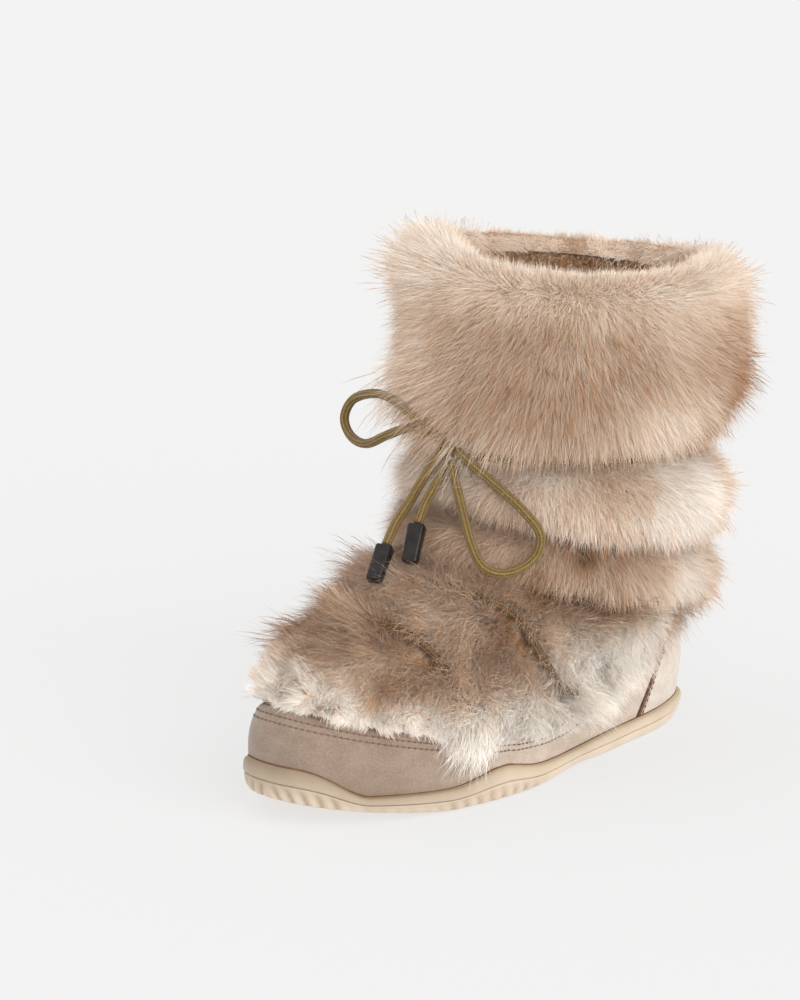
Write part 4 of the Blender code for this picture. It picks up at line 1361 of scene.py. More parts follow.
RISE_SHARES = (
    (0, 0.7), (50, 0.85), (90, 0.7), (137, 0.35), (172, 0.4), (205, 0.95), (240, 0.95), (270, 0.7),
    (317, 0.5), (360, 0.7),
)
PELT_TURNS = 120
PELT_FINE = 6
CORE_TURNS = 72
CORE_FINE = 3
band_line = tilted(97.0, 123.0)
print("coats:", len(ANKLE_COAT), len(MIDDLE_COAT), len(CUFF_COAT), len(VAMP_COAT), "rows")

# %% Cores and pelts
def coat_sizes(coat, fine, columns):
    """The coat's columns over a grid of rows and turns."""
    place = np.linspace(0, len(coat) - 1, (len(coat) - 1) * fine + 1)[:, None]
    size = dict(zip(COAT_COLUMNS, np.moveaxis(table_at(coat, np.repeat(place, columns, axis=1)), -1, 0)))
    size["share"] = np.clip(size["share"], 0.0, 1.0)
    return size


def band_grid(coat, fine, columns, low_line, high_level):
    """Turns, levels and the coat's columns over a band that runs round the shaft."""
    size = coat_sizes(coat, fine, columns)
    turn = np.broadcast_to(np.linspace(0, FULL_TURN, columns, endpoint=False), size["share"].shape)
    return turn, mix(level_at(turn, low_line(turn)), high_level(turn), size["share"]), size


def vamp_grid(coat, fine, columns):
    """Turns, levels and the coat's columns over the vamp, which ends at the heel seams."""
    size = coat_sizes(coat, fine, columns)
    seam = seam_turn(vamp_lines, size["share"][:, :1]) + VAMP_SEAM_GAP
    across = np.linspace(0, 1, columns)[None, :]
    turn = mix(seam, FULL_TURN - seam, across)
    size["depth"] = size["depth"] * vamp_edge(across)
    return turn, level_at(turn, mix(*vamp_lines(turn), size["share"])), size


def coat_points(turn, level, size):
    """The pelt's points: part of the way from the boot's wall to the tips of the coat."""
    points = raised(level, turn, mix(FUR_GAP, size["depth"], ROOT_SHARE))
    points[..., 2] += size["rise"] * np.interp(np.degrees(turn) % 360, *zip(*RISE_SHARES))
    return points


def core_mesh(name, grid, closed):
    """A closed body between the pelt and a seat just outside the boot's wall."""
    turn, level, size = grid
    outer = coat_points(turn, level, size)
    seat = raised(level, turn, np.minimum(FUR_GAP, size["depth"] * ROOT_SHARE))
    seat[..., 2] += np.minimum(size["rise"], FUR_GAP)
    if closed:
        rings = np.concatenate((outer, seat[::-1], outer[:1]))
        return outline_mesh(name, rings.reshape(-1, 3), grid_faces(*rings.shape[:2], True))
    return outline_mesh(name, *slab(outer, seat))


def pelt_mesh(name, points, flow, lift, tone, thick, closed):
    """An open surface whose points carry the hair's lie, lift, colour and density."""
    mesh = mesh_of(name, points.reshape(-1, 3), grid_faces(*lift.shape, closed))
    note(mesh, "flow", flow * MM, "FLOAT_VECTOR")
    for label, values in (("lift", lift * MM), ("tone", tone), ("thick", thick)):
        note(mesh, label, values)
    return mesh


def combed(points, down, aside, closed):
    """The lie of the hair: so far down the rows, and so far to the side."""
    upward = unit(np.gradient(points, axis=0))
    if closed:
        onward = unit(np.roll(points, -1, axis=1) - np.roll(points, 1, axis=1))
    else:
        onward = unit(np.gradient(points, axis=1))
    return onward * aside[..., None] - upward * down[..., None]


print("a pelt has", PELT_TURNS, "columns and a core", CORE_TURNS)

# %% [markdown]
# ## Fur: growing the hair
# Blender has hair curves, but an exported part needs plain meshes, so a Geometry Nodes tree grows each hair
# as a flat blade of one to four triangles. It scatters points on the pelt, finds a nearby clump for each, and
# copies one blade to all of them. Only then does it bend the copies: along the lie, up by the lift, towards
# the clump and out to the blade's width. Every blade keeps its colour and its place from root to tip in its
# UV map, so that one material can paint all of them.

# %% Blades
HAIR_UV = "OFBake"
BLADE_COLUMNS = ("along", "side", "taper")
UNDER_BLADE = ((0.0, -1.0, 1.0), (0.0, 1.0, 1.0), (1.0, 0.0, 0.0))
UNDER_FACES = ((0, 2, 1),)
GUARD_BLADE = (
    (0.0, 0.0, 0.0), (0.4, -1.0, 0.5), (0.4, 1.0, 0.5),
    (0.75, -1.0, 1.0), (0.75, 1.0, 1.0), (1.0, 0.0, 0.0),
)
GUARD_FACES = ((0, 1, 2), (1, 3, 4, 2), (3, 5, 4))


def blade_object(name, rows, faces):
    """One hair with no size yet: points that know their place along it, their side and their width."""
    mesh = bpy.data.meshes.new(name)
    mesh.from_pydata([(0.0, 0.0, 0.0)] * len(rows), [], faces)
    mesh.shade_smooth()
    for column, label in enumerate(BLADE_COLUMNS):
        note(mesh, label, [row[column] for row in rows])
    return add_object(name, mesh)


UNDER = blade_object("under_blade", UNDER_BLADE, UNDER_FACES)
GUARD = blade_object("guard_blade", GUARD_BLADE, GUARD_FACES)
print("blades:", triangles(UNDER.data), "and", triangles(GUARD.data), "triangles")

# %% Fur tree
HAIR_NUMBERS = (
    "Density", "Width", "Length", "Shortest", "Clump Spacing", "Clump Pull", "Swirl", "Swirl Size", "Frizz",
    "Tone Shift", "Tone Spread",
)
HAIR_INPUTS = (
    *((name, "NodeSocketFloat", None) for name in HAIR_NUMBERS), ("Seed", "NodeSocketInt", None),
    ("Blade", "NodeSocketObject", None), ("Finish", "NodeSocketMaterial", None),
)
HAIR_ROLL = 0.15
HAIR_LONGEST = 1.12
HAIR_BEND = 1.35
SWIRL_GAIN = 3.0
JITTER_GAIN = 0.6
CLUMPS_AT_MOST = 4.0e5
NOISE_MIDDLE = (0.5, 0.5, 0.5)
TONE_ENDS = (0.01, 0.99)
MAP_SIDE = 0.004
MAP_START = 0.02
MAP_LENGTH = 0.96
HAIR_NOTES = (
    "flow", "lift", "tone", "thick", "root_flow", "root_up", "root_clump", "root_side", "root_tone",
    *BLADE_COLUMNS,
)


def named(tree, name, kind="FLOAT"):
    """What a mesh notes at its points under a name."""
    node = add_node(tree, "GeometryNodeInputNamedAttribute", {"Name": name}, data_type=kind)
    return result(node, "Attribute")


def named_way(tree, name):
    """A direction that a mesh notes at its points under a name."""
    return named(tree, name, "FLOAT_VECTOR")


def store(tree, geometry, name, value, kind="FLOAT", domain="POINT"):
    inputs = {"Geometry": geometry, "Name": name, "Value": value}
    node = add_node(tree, "GeometryNodeStoreNamedAttribute", inputs, data_type=kind, domain=domain)
    return node.outputs["Geometry"]


def chance(tree, low, high, seed, kind="FLOAT"):
    inputs = {"Min": low, "Max": high, "Seed": seed}
    return result(add_node(tree, "FunctionNodeRandomValue", inputs, data_type=kind))


def new_geometry_tree(name, inputs):
    """An empty tree with a geometry in and out and named inputs; returns it with its two ends."""
    tree = bpy.data.node_groups.new(name, "GeometryNodeTree")
    tree.interface.new_socket("Geometry", in_out="INPUT", socket_type="NodeSocketGeometry")
    add_inputs(tree, inputs)
    tree.interface.new_socket("Geometry", in_out="OUTPUT", socket_type="NodeSocketGeometry")
    return tree, tree.nodes.new("NodeGroupInput").outputs, tree.nodes.new("NodeGroupOutput")


def make_fur_tree():
    """The tree that grows a coat: roots and clumps, each hair's lie and colour, and its bent blade."""
    tree, given, end = new_geometry_tree("fur_coat", HAIR_INPUTS)
    pelt = given["Geometry"]
    seed = given["Seed"]
    density = maths(tree, "MULTIPLY", given["Density"], named(tree, "thick"))
    scatter = add_node(
        tree, "GeometryNodeDistributePointsOnFaces", {"Mesh": pelt, "Density": density, "Seed": seed},
        distribute_method="RANDOM",
    )
    clumps = add_node(
        tree, "GeometryNodeDistributePointsOnFaces",
        {"Mesh": pelt, "Distance Min": given["Clump Spacing"], "Density Max": CLUMPS_AT_MOST, "Seed": seed},
        distribute_method="POISSON",
    ).outputs["Points"]
    place = add_node(tree, "GeometryNodeInputPosition").outputs["Position"]
    search = {"Geometry": clumps, "Sample Position": place}
    closest = add_node(tree, "GeometryNodeSampleNearest", search).outputs[0]
    clump_inputs = {"Geometry": clumps, "Value": place, "Index": closest}
    centre = result(add_node(tree, "GeometryNodeSampleIndex", clump_inputs, data_type="FLOAT_VECTOR"))
    up = scatter.outputs["Normal"]

    size = maths(tree, "MULTIPLY", given["Length"], chance(tree, given["Shortest"], HAIR_LONGEST, seed))
    swirl_scale = maths(tree, "DIVIDE", 1.0, given["Swirl Size"])
    swirl = add_node(tree, "ShaderNodeTexNoise", {"Vector": centre, "Scale": swirl_scale, "Detail": 1.0})
    swirl = vectors(tree, "SUBTRACT", swirl.outputs["Color"], NOISE_MIDDLE)
    swirl = vectors(tree, "SCALE", swirl, scale=maths(tree, "MULTIPLY", given["Swirl"], SWIRL_GAIN))
    jitter = add_node(tree, "ShaderNodeTexWhiteNoise", {"Vector": centre}).outputs["Color"]
    jitter = vectors(tree, "SUBTRACT", jitter, NOISE_MIDDLE)
    jitter = vectors(tree, "SCALE", jitter, scale=maths(tree, "MULTIPLY", given["Swirl"], JITTER_GAIN))
    spread = chance(tree, (-1.0, -1.0, -1.0), (1.0, 1.0, 1.0), maths(tree, "ADD", seed, 1.0), "FLOAT_VECTOR")
    reach = maths(tree, "ADD", vectors(tree, "LENGTH", named_way(tree, "flow")), named(tree, "lift"))
    spread = vectors(tree, "SCALE", spread, scale=maths(tree, "MULTIPLY", reach, given["Frizz"]))
    flow = vectors(tree, "ADD", named_way(tree, "flow"), vectors(tree, "ADD", swirl, jitter))
    flow = vectors(tree, "SCALE", vectors(tree, "ADD", flow, spread), scale=size)
    rise = vectors(tree, "SCALE", up, scale=maths(tree, "MULTIPLY", size, named(tree, "lift")))
    clump = vectors(tree, "SCALE", vectors(tree, "SUBTRACT", centre, place), scale=given["Clump Pull"])

    across = vectors(tree, "NORMALIZE", vectors(tree, "CROSS_PRODUCT", up, flow))
    roll = chance(tree, -HAIR_ROLL, HAIR_ROLL, maths(tree, "ADD", seed, 2.0))
    level_part = vectors(tree, "SCALE", across, scale=maths(tree, "COSINE", roll))
    across = vectors(tree, "ADD", level_part, vectors(tree, "SCALE", up, scale=maths(tree, "SINE", roll)))
    across = vectors(tree, "SCALE", across, scale=maths(tree, "MULTIPLY", given["Width"], 0.5))

    clump_tone = add_node(tree, "ShaderNodeTexWhiteNoise", {"Vector": centre}).outputs["Value"]
    both = maths(tree, "ADD", maths(tree, "SUBTRACT", clump_tone, 0.5), chance(tree, -0.5, 0.5, seed))
    tone = maths(tree, "ADD", named(tree, "tone"), given["Tone Shift"])
    tone = maths(tree, "MULTIPLY_ADD", both, given["Tone Spread"], tone)
    lightest, darkest = TONE_ENDS
    tone = add_node(tree, "ShaderNodeClamp", {"Value": tone, "Min": lightest, "Max": darkest}).outputs[0]

    points = scatter.outputs["Points"]
    ways = (("root_flow", flow), ("root_up", rise), ("root_clump", clump), ("root_side", across))
    for label, way in ways:
        points = store(tree, points, label, way, "FLOAT_VECTOR")
    points = store(tree, points, "root_tone", tone)
    blade = add_node(tree, "GeometryNodeObjectInfo", {"Object": given["Blade"]}).outputs["Geometry"]
    hairs = add_node(tree, "GeometryNodeInstanceOnPoints", {"Points": points, "Instance": blade})
    hairs = add_node(tree, "GeometryNodeRealizeInstances", {"Geometry": hairs.outputs[0]}).outputs[0]

    along = named(tree, "along")
    bent = maths(tree, "POWER", along, HAIR_BEND)
    risen = maths(tree, "MULTIPLY", along, maths(tree, "SUBTRACT", 2.0, along))
    drawn = maths(tree, "MULTIPLY", along, along)
    width = maths(tree, "MULTIPLY", named(tree, "side"), named(tree, "taper"))
    offset = vectors(tree, "SCALE", named_way(tree, "root_flow"), scale=bent)
    for label, share in (("root_up", risen), ("root_clump", drawn), ("root_side", width)):
        part = vectors(tree, "SCALE", named_way(tree, label), scale=share)
        offset = vectors(tree, "ADD", offset, part)
    hairs = add_node(tree, "GeometryNodeSetPosition", {"Geometry": hairs, "Offset": offset}).outputs[0]
    map_x = maths(tree, "MULTIPLY_ADD", named(tree, "side"), MAP_SIDE, named(tree, "root_tone"))
    map_y = maths(tree, "MULTIPLY_ADD", along, MAP_LENGTH, MAP_START)
    spot = add_node(tree, "ShaderNodeCombineXYZ", {"X": map_x, "Y": map_y}).outputs[0]
    hairs = store(tree, hairs, HAIR_UV, spot, "FLOAT2", "CORNER")
    finish = add_node(tree, "GeometryNodeSetMaterial", {"Geometry": hairs, "Material": given["Finish"]})
    tree.links.new(finish.outputs[0], end.inputs[0])
    return tree


FUR_TREE = make_fur_tree()
print("fur tree:", len(FUR_TREE.nodes), "nodes")

# %% Run the tree and paint the hair
def set_inputs(modifier, values):
    """Sets a modifier's inputs by the identifiers of their sockets."""
    for item in modifier.node_group.interface.items_tree:
        if item.in_out == "INPUT" and item.name in values:
            modifier[item.identifier] = values[item.name]


def run_tree(name, mesh, tree, values, notes=()):
    """The plain mesh that a tree makes from a mesh, without the attributes that only the tree needs."""
    holder = add_object(name, mesh)
    modifier = holder.modifiers.new(name, "NODES")
    modifier.node_group = tree
    set_inputs(modifier, values)
    made = bpy.data.meshes.new_from_object(holder.evaluated_get(bpy.context.evaluated_depsgraph_get()))
    bpy.data.objects.remove(holder)
    bpy.data.meshes.remove(mesh)
    made.name = name
    for note in notes:
        if note in made.attributes:
            made.attributes.remove(made.attributes[note])
    return made


def fur_finish(name, root, root_end):
    """Hair painted by its own UV map: from white to brown, with another tint up to a share of its length."""
    material, tree, shader = new_material(
        name, roughness=0.6, specular=0.15, Sheen_Weight=0.15, Sheen_Roughness=0.5,
    )
    place = add_node(tree, "ShaderNodeUVMap", uv_map=HAIR_UV).outputs["UV"]
    parts = add_node(tree, "ShaderNodeSeparateXYZ", {"Vector": place})
    stops = (
        (0.0, srgb(255, 250, 243)), (0.25, srgb(233, 213, 193)), (0.5, srgb(204, 178, 154)),
        (0.7, srgb(178, 130, 88)), (1.0, srgb(110, 70, 42)),
    )
    tone = ramp(tree, parts.outputs["X"], stops)
    start, end = root_end
    tipward = ramp(tree, parts.outputs["Y"], ((start, srgb(0, 0, 0)), (end, srgb(255, 255, 255))))
    tree.links.new(blend(tree, tipward, root, tone), shader.inputs["Base Color"])
    return material


FUR = fur_finish("pale_fur", srgb(218, 190, 162), (0.0, 0.3))
GUARD_FUR = fur_finish("tipped_fur", srgb(230, 204, 178), (0.3, 0.55))
print("materials:", FUR.name, GUARD_FUR.name)

# %% [markdown]
# ## Fur: the four pieces
# Each piece gets its core, a dense coat of pale under-hair and a thin coat of longer, browner guard hair.
# What makes it this boot's fur is placed on the turn and the height: patches of white and brown,
# tufts that stand out, the ragged lower edge of the vamp, and the edge of the opening, which is fluffy in
# front and short behind. The hair parts along the laces where they show, and rises over them elsewhere.

# %% Patches, tufts and counts
FACING = math.radians(137)
SIDE_FAN = {"cuff": 0.85, "middle": 0.3, "ankle": 0.3, "vamp": 0.25}
PATCH_COLUMNS = ("turn", "share", "half_turn", "half_share", "tone")
PATCHES = {
    "cuff": (
        (132, 0.61, 8, 0.06, -0.2), (98, 0.28, 20, 0.17, -0.34), (100, 0.74, 20, 0.2, -0.1),
        (60, 0.4, 12, 0.2, 0.24), (198, 0.55, 20, 0.3, -0.3), (172, 0.12, 14, 0.12, -0.2),
    ),
    "middle": (
        (114, 0.8, 18, 0.25, 0.26), (124, 0.2, 16, 0.2, -0.1), (80, 0.6, 26, 0.4, -0.24),
        (52, 0.7, 8, 0.4, 0.3), (160, 0.6, 16, 0.4, 0.12),
    ),
    "ankle": (
        (120, 0.75, 4, 0.2, 0.5), (66, 0.6, 22, 0.5, -0.36), (95, 0.05, 30, 0.12, 0.12),
        (135, 0.3, 10, 0.3, 0.15), (48, 0.1, 8, 0.3, 0.25),
    ),
    "vamp": (
        (143, 0.2, 11, 0.1, 0.36), (170, 0.32, 12, 0.12, 0.1), (84, 0.3, 20, 0.35, -0.55),
        (107, 0.05, 10, 0.12, -0.2), (132, 0.5, 8, 0.1, -0.1), (122, 0.57, 8, 0.12, 0.24),
        (92, 0.97, 24, 0.07, 0.3), (74, 0.65, 14, 0.3, -0.45), (155, 0.55, 9, 0.1, -0.1),
        # The patch at 95 degrees and 0.64 is painted lighter against the ankle band's shadow over it.
        (217, 0.25, 14, 0.12, 0.25), (272, 0.3, 18, 0.3, -0.35), (95, 0.64, 11, 0.16, -0.16),
    ),
}
TUFT_COLUMNS = ("turn", "share", "half_turn", "half_share", "down", "aside", "lift")
TUFTS = {
    "cuff": (
        (58, 0.5, 9, 0.2, -5, 0, 5), (205, 0.9, 16, 0.15, -3, 4, 2), (160, 0.12, 14, 0.12, 6, 0, 11),
        (178, 0.1, 12, 0.1, 10, -3, 20), (182, 0.28, 16, 0.16, 9, 0, 15), (204, 0.34, 14, 0.16, 9, 2, 15),
    ),
    "middle": ((54, 0.75, 9, 0.2, -8, -4, 6), (50, 0.3, 8, 0.2, -4, -4, 4)),
    "ankle": ((50, 0.2, 9, 0.25, -9, -8, 9),),
    "vamp": ((107, 0.0, 7, 0.12, 9, 0, 2), (197, 0.05, 12, 0.15, -2, 0, 3), (79, 0.28, 14, 0.2, -3, 0, 5)),
}
TOP_LIFT = (
    (0, 0.8), (50, 1.5), (90, 1.1), (137, 1.0), (172, 0.95), (205, 2.0), (235, 1.75), (270, 0.7),
    (317, 0.4), (360, 0.8),
)
TOP_START = (0.72, 0.95)
FAR_SIDE = (317.0, 52.0)
FAR_EDGE = 4
FAR_DOWN = -3.0
FAR_LIFT = 3.5
FAR_TONE = 0.2
TOE_ANGLE = 180.0
VAMP_HANG = ((0, 2.0), (48, 2.0), (60, 5.0), (71, 15.0), (82, 5.0), (100, 3.0), (130, 3.0))
HANG_END = 0.3
EDGE_THICK = 1.7
LANE = (2.4, 5.5)
LANE_HAIR = 0.3
LANE_SHADE = 0.4
LANE_SHADE_WIDTH = 6.0
LANE_BANK = (8.0, 3.0)
BANK_RISE = 6.0
COVER = 8.0
COVER_RISE = 13.0
UNDER_COUNTS = {"cuff": 172000, "middle": 100000, "ankle": 90000, "vamp": 148000}
GUARD_COUNTS = {"cuff": 13000, "middle": 8000, "ankle": 7500, "vamp": 13000}
UNDER_LOOK = {
    "Width": 0.00036, "Length": 0.66, "Shortest": 0.5, "Clump Spacing": 0.0038, "Clump Pull": 0.1,
    "Swirl": 0.0045, "Swirl Size": 0.022, "Frizz": 0.42, "Tone Shift": -0.05, "Tone Spread": 0.08,
}
GUARD_LOOK = {
    "Width": 0.00024, "Length": 0.78, "Shortest": 0.6, "Clump Spacing": 0.006, "Clump Pull": 0.1,
    "Swirl": 0.006, "Swirl Size": 0.022, "Frizz": 0.27, "Tone Shift": 0.24, "Tone Spread": 0.3,
}
WILD = {
    "vamp_under_hair": {"Swirl": 0.011, "Swirl Size": 0.018},
    "vamp_guard_hair": {"Swirl": 0.011, "Swirl Size": 0.018},
    "cuff_guard_hair": {"Swirl": 0.009, "Swirl Size": 0.026},
}
SEEDS = {"vamp": 21, "ankle": 22, "middle": 23, "cuff": 24, "pile": 25}
print("hairs:", sum(UNDER_COUNTS.values()) + sum(GUARD_COUNTS.values()))

# %% Grow a coat
def mottled_finish():
    """The core's under-wool, seen only between hairs: a tan that is partly the wool's own and partly painted
    shade deep in the coat.
    """
    material, tree, shader = new_material("shaded_under_wool", roughness=0.95, specular=0.05)
    grain = use_group(tree, GRAIN, Patch_Size=0.012, Grain_Size=0.0012, Stretch=(1.0, 1.0, 0.35))
    # The wool's tan is darkened in part as painted shade deep in the coat.
    tone = ramp(tree, grain.outputs["Height"], ((0.3, srgb(196, 164, 136)), (0.7, srgb(226, 200, 174))))
    tree.links.new(tone, shader.inputs["Base Color"])
    bump(tree, shader, grain.outputs["Height"], distance=0.001, strength=0.7)
    return material


SHADED_UNDER_WOOL = mottled_finish()


def turn_from(turn, degrees):
    """The signed turn from an angle, in degrees between minus and plus half a turn."""
    return (np.degrees(turn) - degrees + 180) % 360 - 180


def spot_weight(size, turn, share):
    """How much a listed spot counts at each place."""
    aside = turn_from(turn, size["turn"]) / size["half_turn"]
    above = (share - size["share"]) / size["half_share"]
    return np.exp(-(aside ** 2 + above ** 2))


def nearest(points, targets):
    """Each point's distance to the nearest of the targets."""
    return np.linalg.norm(points[..., None, :] - targets, axis=-1).min(axis=-1)


def surface_area(mesh):
    return sum(polygon.area for polygon in mesh.polygons)


def grow_coat(label, grid, closed, lift, aside, thick, guarded):
    """Under-hair and guard hair on a pelt, with the patches and tufts of its piece."""
    turn, level, size = grid
    points = coat_points(turn, level, size)
    down, tone = size["down"].copy(), size["tone"].copy()
    lift, aside = lift.copy(), aside.copy()
    for row in PATCHES[label]:
        spot = dict(zip(PATCH_COLUMNS, row))
        tone += spot["tone"] * spot_weight(spot, turn, size["share"])
    for row in TUFTS[label]:
        spot = dict(zip(TUFT_COLUMNS, row))
        weight = spot_weight(spot, turn, size["share"])
        down += spot["down"] * weight
        aside += spot["aside"] * weight
        lift += spot["lift"] * weight
    lie = combed(points, down, aside, closed)
    for kind, blade, finish, counts, look, grown in (
        ("under_hair", UNDER, FUR, UNDER_COUNTS, UNDER_LOOK, thick),
        ("guard_hair", GUARD, GUARD_FUR, GUARD_COUNTS, GUARD_LOOK, thick * guarded),
    ):
        pelt = pelt_mesh(label + "_pelt", points, lie, lift, tone, grown, closed)
        values = dict(look, **WILD.get(f"{label}_{kind}", {}))
        density = counts[label] / surface_area(pelt)
        values.update(Density=density, Seed=SEEDS[label], Blade=blade, Finish=finish)
        hair = run_tree(f"{label}_{kind}", pelt, FUR_TREE, values, HAIR_NOTES)
        keep(f"{label}_{kind}", hair, finish, label + "_fur")
        print(label, kind, triangles(hair), "triangles")


print("spots placed by hand:", sum(map(len, PATCHES.values())) + sum(map(len, TUFTS.values())))

# %% Four fur pieces
def dress_band(label, node, coat, low_line, high_level):
    """A band's core and hair; the cuff's top edge is combed apart from the rest."""
    core = core_mesh(label + "_core", band_grid(coat, CORE_FINE, CORE_TURNS, low_line, high_level), True)
    keep(label + "_core", core, SHADED_UNDER_WOOL, label + "_fur", node)
    turn, level, size = band_grid(coat, PELT_FINE, PELT_TURNS, low_line, high_level)
    lift = size["lift"]
    calm = np.zeros(turn.shape)
    if label == "cuff":
        top = smooth(*TOP_START, size["share"])
        lift = lift * mix(1.0, np.interp(np.degrees(turn), *zip(*TOP_LIFT)), top)
        centre, width = FAR_SIDE
        calm = top * np.exp(-((turn_from(turn, centre) / width) ** FAR_EDGE))
        lift = mix(lift, FAR_LIFT, calm)
        size["down"] = mix(size["down"], FAR_DOWN, calm)
        size["tone"] = mix(size["tone"], FAR_TONE, calm)
    aside = np.abs(size["down"]) * SIDE_FAN[label] * np.sin(turn - FACING)
    grow_coat(label, (turn, level, size), True, lift, aside, np.ones(turn.shape), 1 - calm)


def dress_vamp():
    """The vamp's core and hair, which hangs at the lower edge and parts along the laces."""
    core = core_mesh("vamp_core", vamp_grid(VAMP_COAT, CORE_FINE, CORE_TURNS), False)
    keep("vamp_core", core, SHADED_UNDER_WOOL, "vamp_fur", "fur_vamp")
    turn, level, size = vamp_grid(VAMP_COAT, PELT_FINE, PELT_TURNS)
    hang = np.interp(np.abs(turn_from(turn, TOE_ANGLE)), *zip(*VAMP_HANG))
    size["down"] = mix(hang, size["down"], smooth(0.0, HANG_END, size["share"]))
    tips = raised(level, turn, size["depth"])
    gap = nearest(tips, lace_shown)
    lane = smooth(*LANE, gap)
    size["down"] = size["down"] * mix(LANE_HAIR, 1.0, lane)
    # Hair beside a lace that shows is darkened as painted shade in the lace's lane.
    size["tone"] = size["tone"] + LANE_SHADE * np.exp(-((gap / LANE_SHADE_WIDTH) ** 2))
    covered = np.exp(-((nearest(tips, lace_covered) / COVER) ** 2)) * lane
    lift = size["lift"] * mix(LANE_HAIR, 1.0, lane)
    lift = lift + BANK_RISE * hump(LANE_BANK, gap) + COVER_RISE * covered
    aside = size["down"] * SIDE_FAN["vamp"] * np.sin(turn)
    edge = mix(EDGE_THICK, 1.0, smooth(0.0, HANG_END, size["share"]))
    grow_coat("vamp", (turn, level, size), False, lift, aside, edge, lane)


dress_vamp()
dress_band(
    "ankle", "fur_ankle_band", ANKLE_COAT, ankle_line,
    lambda turn: level_at(turn, band_line(turn) - BAND_GAP),
)
dress_band(
    "middle", "fur_middle_band", MIDDLE_COAT, lambda turn: band_line(turn) + BAND_GAP,
    lambda turn: level_at(turn, cinch_line(turn) - CINCH_HALF),
)
dress_band(
    "cuff", "fur_cuff", CUFF_COAT, lambda turn: cinch_line(turn) + CINCH_HALF,
    lambda turn: np.full(turn.shape, float(COLLAR_LEVEL)),
)

# %% [markdown]
# ## Pile inside the collar
# The lining is curly wool, which shows as brown fuzz below the far rim. The same tree grows it, short and
# tangled, on a pelt that faces inward.

# %% Lining pile
PILE_LEVELS = (COLLAR_LEVEL - 2.3, COLLAR_LEVEL - 0.05)
PILE_ROWS = 18
PILE_COUNT = 20000
PILE_LOOK = {
    "Width": 0.0007, "Length": 1.0, "Shortest": 0.5, "Clump Spacing": 0.004, "Clump Pull": 0.5,
    "Swirl": 0.004, "Swirl Size": 0.008, "Frizz": 0.5, "Tone Shift": 0.0, "Tone Spread": 0.2,
}
PILE_DOWN = 1.5
PILE_LIFT = 4.5
PILE_TONE = 0.68

turn = -np.linspace(0, FULL_TURN, PELT_TURNS, endpoint=False)
turn, level = np.meshgrid(turn, np.linspace(*PILE_LEVELS, PILE_ROWS))
points = raised(level, turn, np.full(turn.shape, -WALL))
even = np.ones(turn.shape)
lie = combed(points, PILE_DOWN * even, 0 * even, True)
pelt = pelt_mesh("pile_pelt", points, lie, PILE_LIFT * even, PILE_TONE * even, even, True)
density = PILE_COUNT / surface_area(pelt)
values = dict(PILE_LOOK, Density=density, Seed=SEEDS["pile"], Blade=UNDER, Finish=FUR)
pile = run_tree("lining_pile", pelt, FUR_TREE, values, HAIR_NOTES)
keep("lining_pile", pile, FUR, "lined_suede")
for blade in (UNDER, GUARD):
    bpy.data.objects.remove(blade)
print("lining pile:", triangles(pile), "triangles")

# %% [markdown]
# ## Stitches and the heel seam
# Two rows of stitches hold the fur to the suede, and one row runs behind the heel seam, whose cut edge
# shows brown. Rows of points at an even pitch carry the surface's direction and the row's own, and a
# small tree lays a thread and a needle hole on each: the way a machine sews. Each needle hole is a small
# dark cone of painted shade.

# %% Stitch tree
STITCH_INPUTS = (("Stitch", "NodeSocketObject", None), ("Finish", "NodeSocketMaterial", None))
STITCH_PITCH = 3.0
STITCH_SIZE = (1.9, 1.0, 0.7)
STITCH_DROPS = (2.6, 5.0)
STITCH_SEAM_SHARE = 0.9
STITCH_SEAM_GAP = 0.05
HOLE_RADIUS = 0.35
HOLE_NARROWS = 0.5
HOLE_HEIGHT = 0.12
SEAM_BEHIND = 2.6
SEAM_SHARES = (0.03, 0.97)
SEAM_RADIUS = 0.75
SEAM_SIDES = 10
SEAM_POINTS = 60
SEAM_AHEAD = 0.4
SEAM_SUNK = 0.1
ROW_POINTS = 700
RIM_SHADOW_LINE = 0.45
RIM_SHADOW_LINE_RISE = 0.1


def make_stitch_tree():
    """The tree that lays one shape on each point of a row."""
    tree, given, end = new_geometry_tree("stitch_row", STITCH_INPUTS)
    axes = {"Primary Axis": named_way(tree, "up"), "Secondary Axis": named_way(tree, "ahead")}
    turned = add_node(tree, "FunctionNodeAxesToRotation", axes, primary_axis="Z", secondary_axis="X")
    thread = add_node(tree, "GeometryNodeObjectInfo", {"Object": given["Stitch"]}).outputs["Geometry"]
    inputs = {"Points": given["Geometry"], "Instance": thread, "Rotation": turned.outputs[0]}
    copies = add_node(tree, "GeometryNodeInstanceOnPoints", inputs).outputs[0]
    copies = add_node(tree, "GeometryNodeRealizeInstances", {"Geometry": copies}).outputs[0]
    finish = add_node(tree, "GeometryNodeSetMaterial", {"Geometry": copies, "Material": given["Finish"]})
    tree.links.new(finish.outputs[0], end.inputs[0])
    return tree


STITCH_TREE = make_stitch_tree()
print("stitch tree:", len(STITCH_TREE.nodes), "nodes")

# %% Rows, threads and holes
def row_mesh(name, rows, offset):
    """Loose points along rows of places and directions, moved along each row by part of a pitch."""
    spots, ups, aheads = [], [], []
    for points, normals in rows:
        run = run_along(points)
        wanted = np.arange(STITCH_PITCH * (1 + offset), run[-1] - STITCH_PITCH, STITCH_PITCH)
        spot = spread_along(wanted, run, points)
        spots.append(spot)
        ups.append(unit(spread_along(wanted, run, normals)))
        aheads.append(unit(np.gradient(spot, axis=0)))
    mesh = bpy.data.meshes.new(name)
    mesh.from_pydata(placed(np.concatenate(spots)).tolist(), [], [])
    for label, values in (("up", ups), ("ahead", aheads)):
        note(mesh, label, np.concatenate(values), "FLOAT_VECTOR")
    return mesh


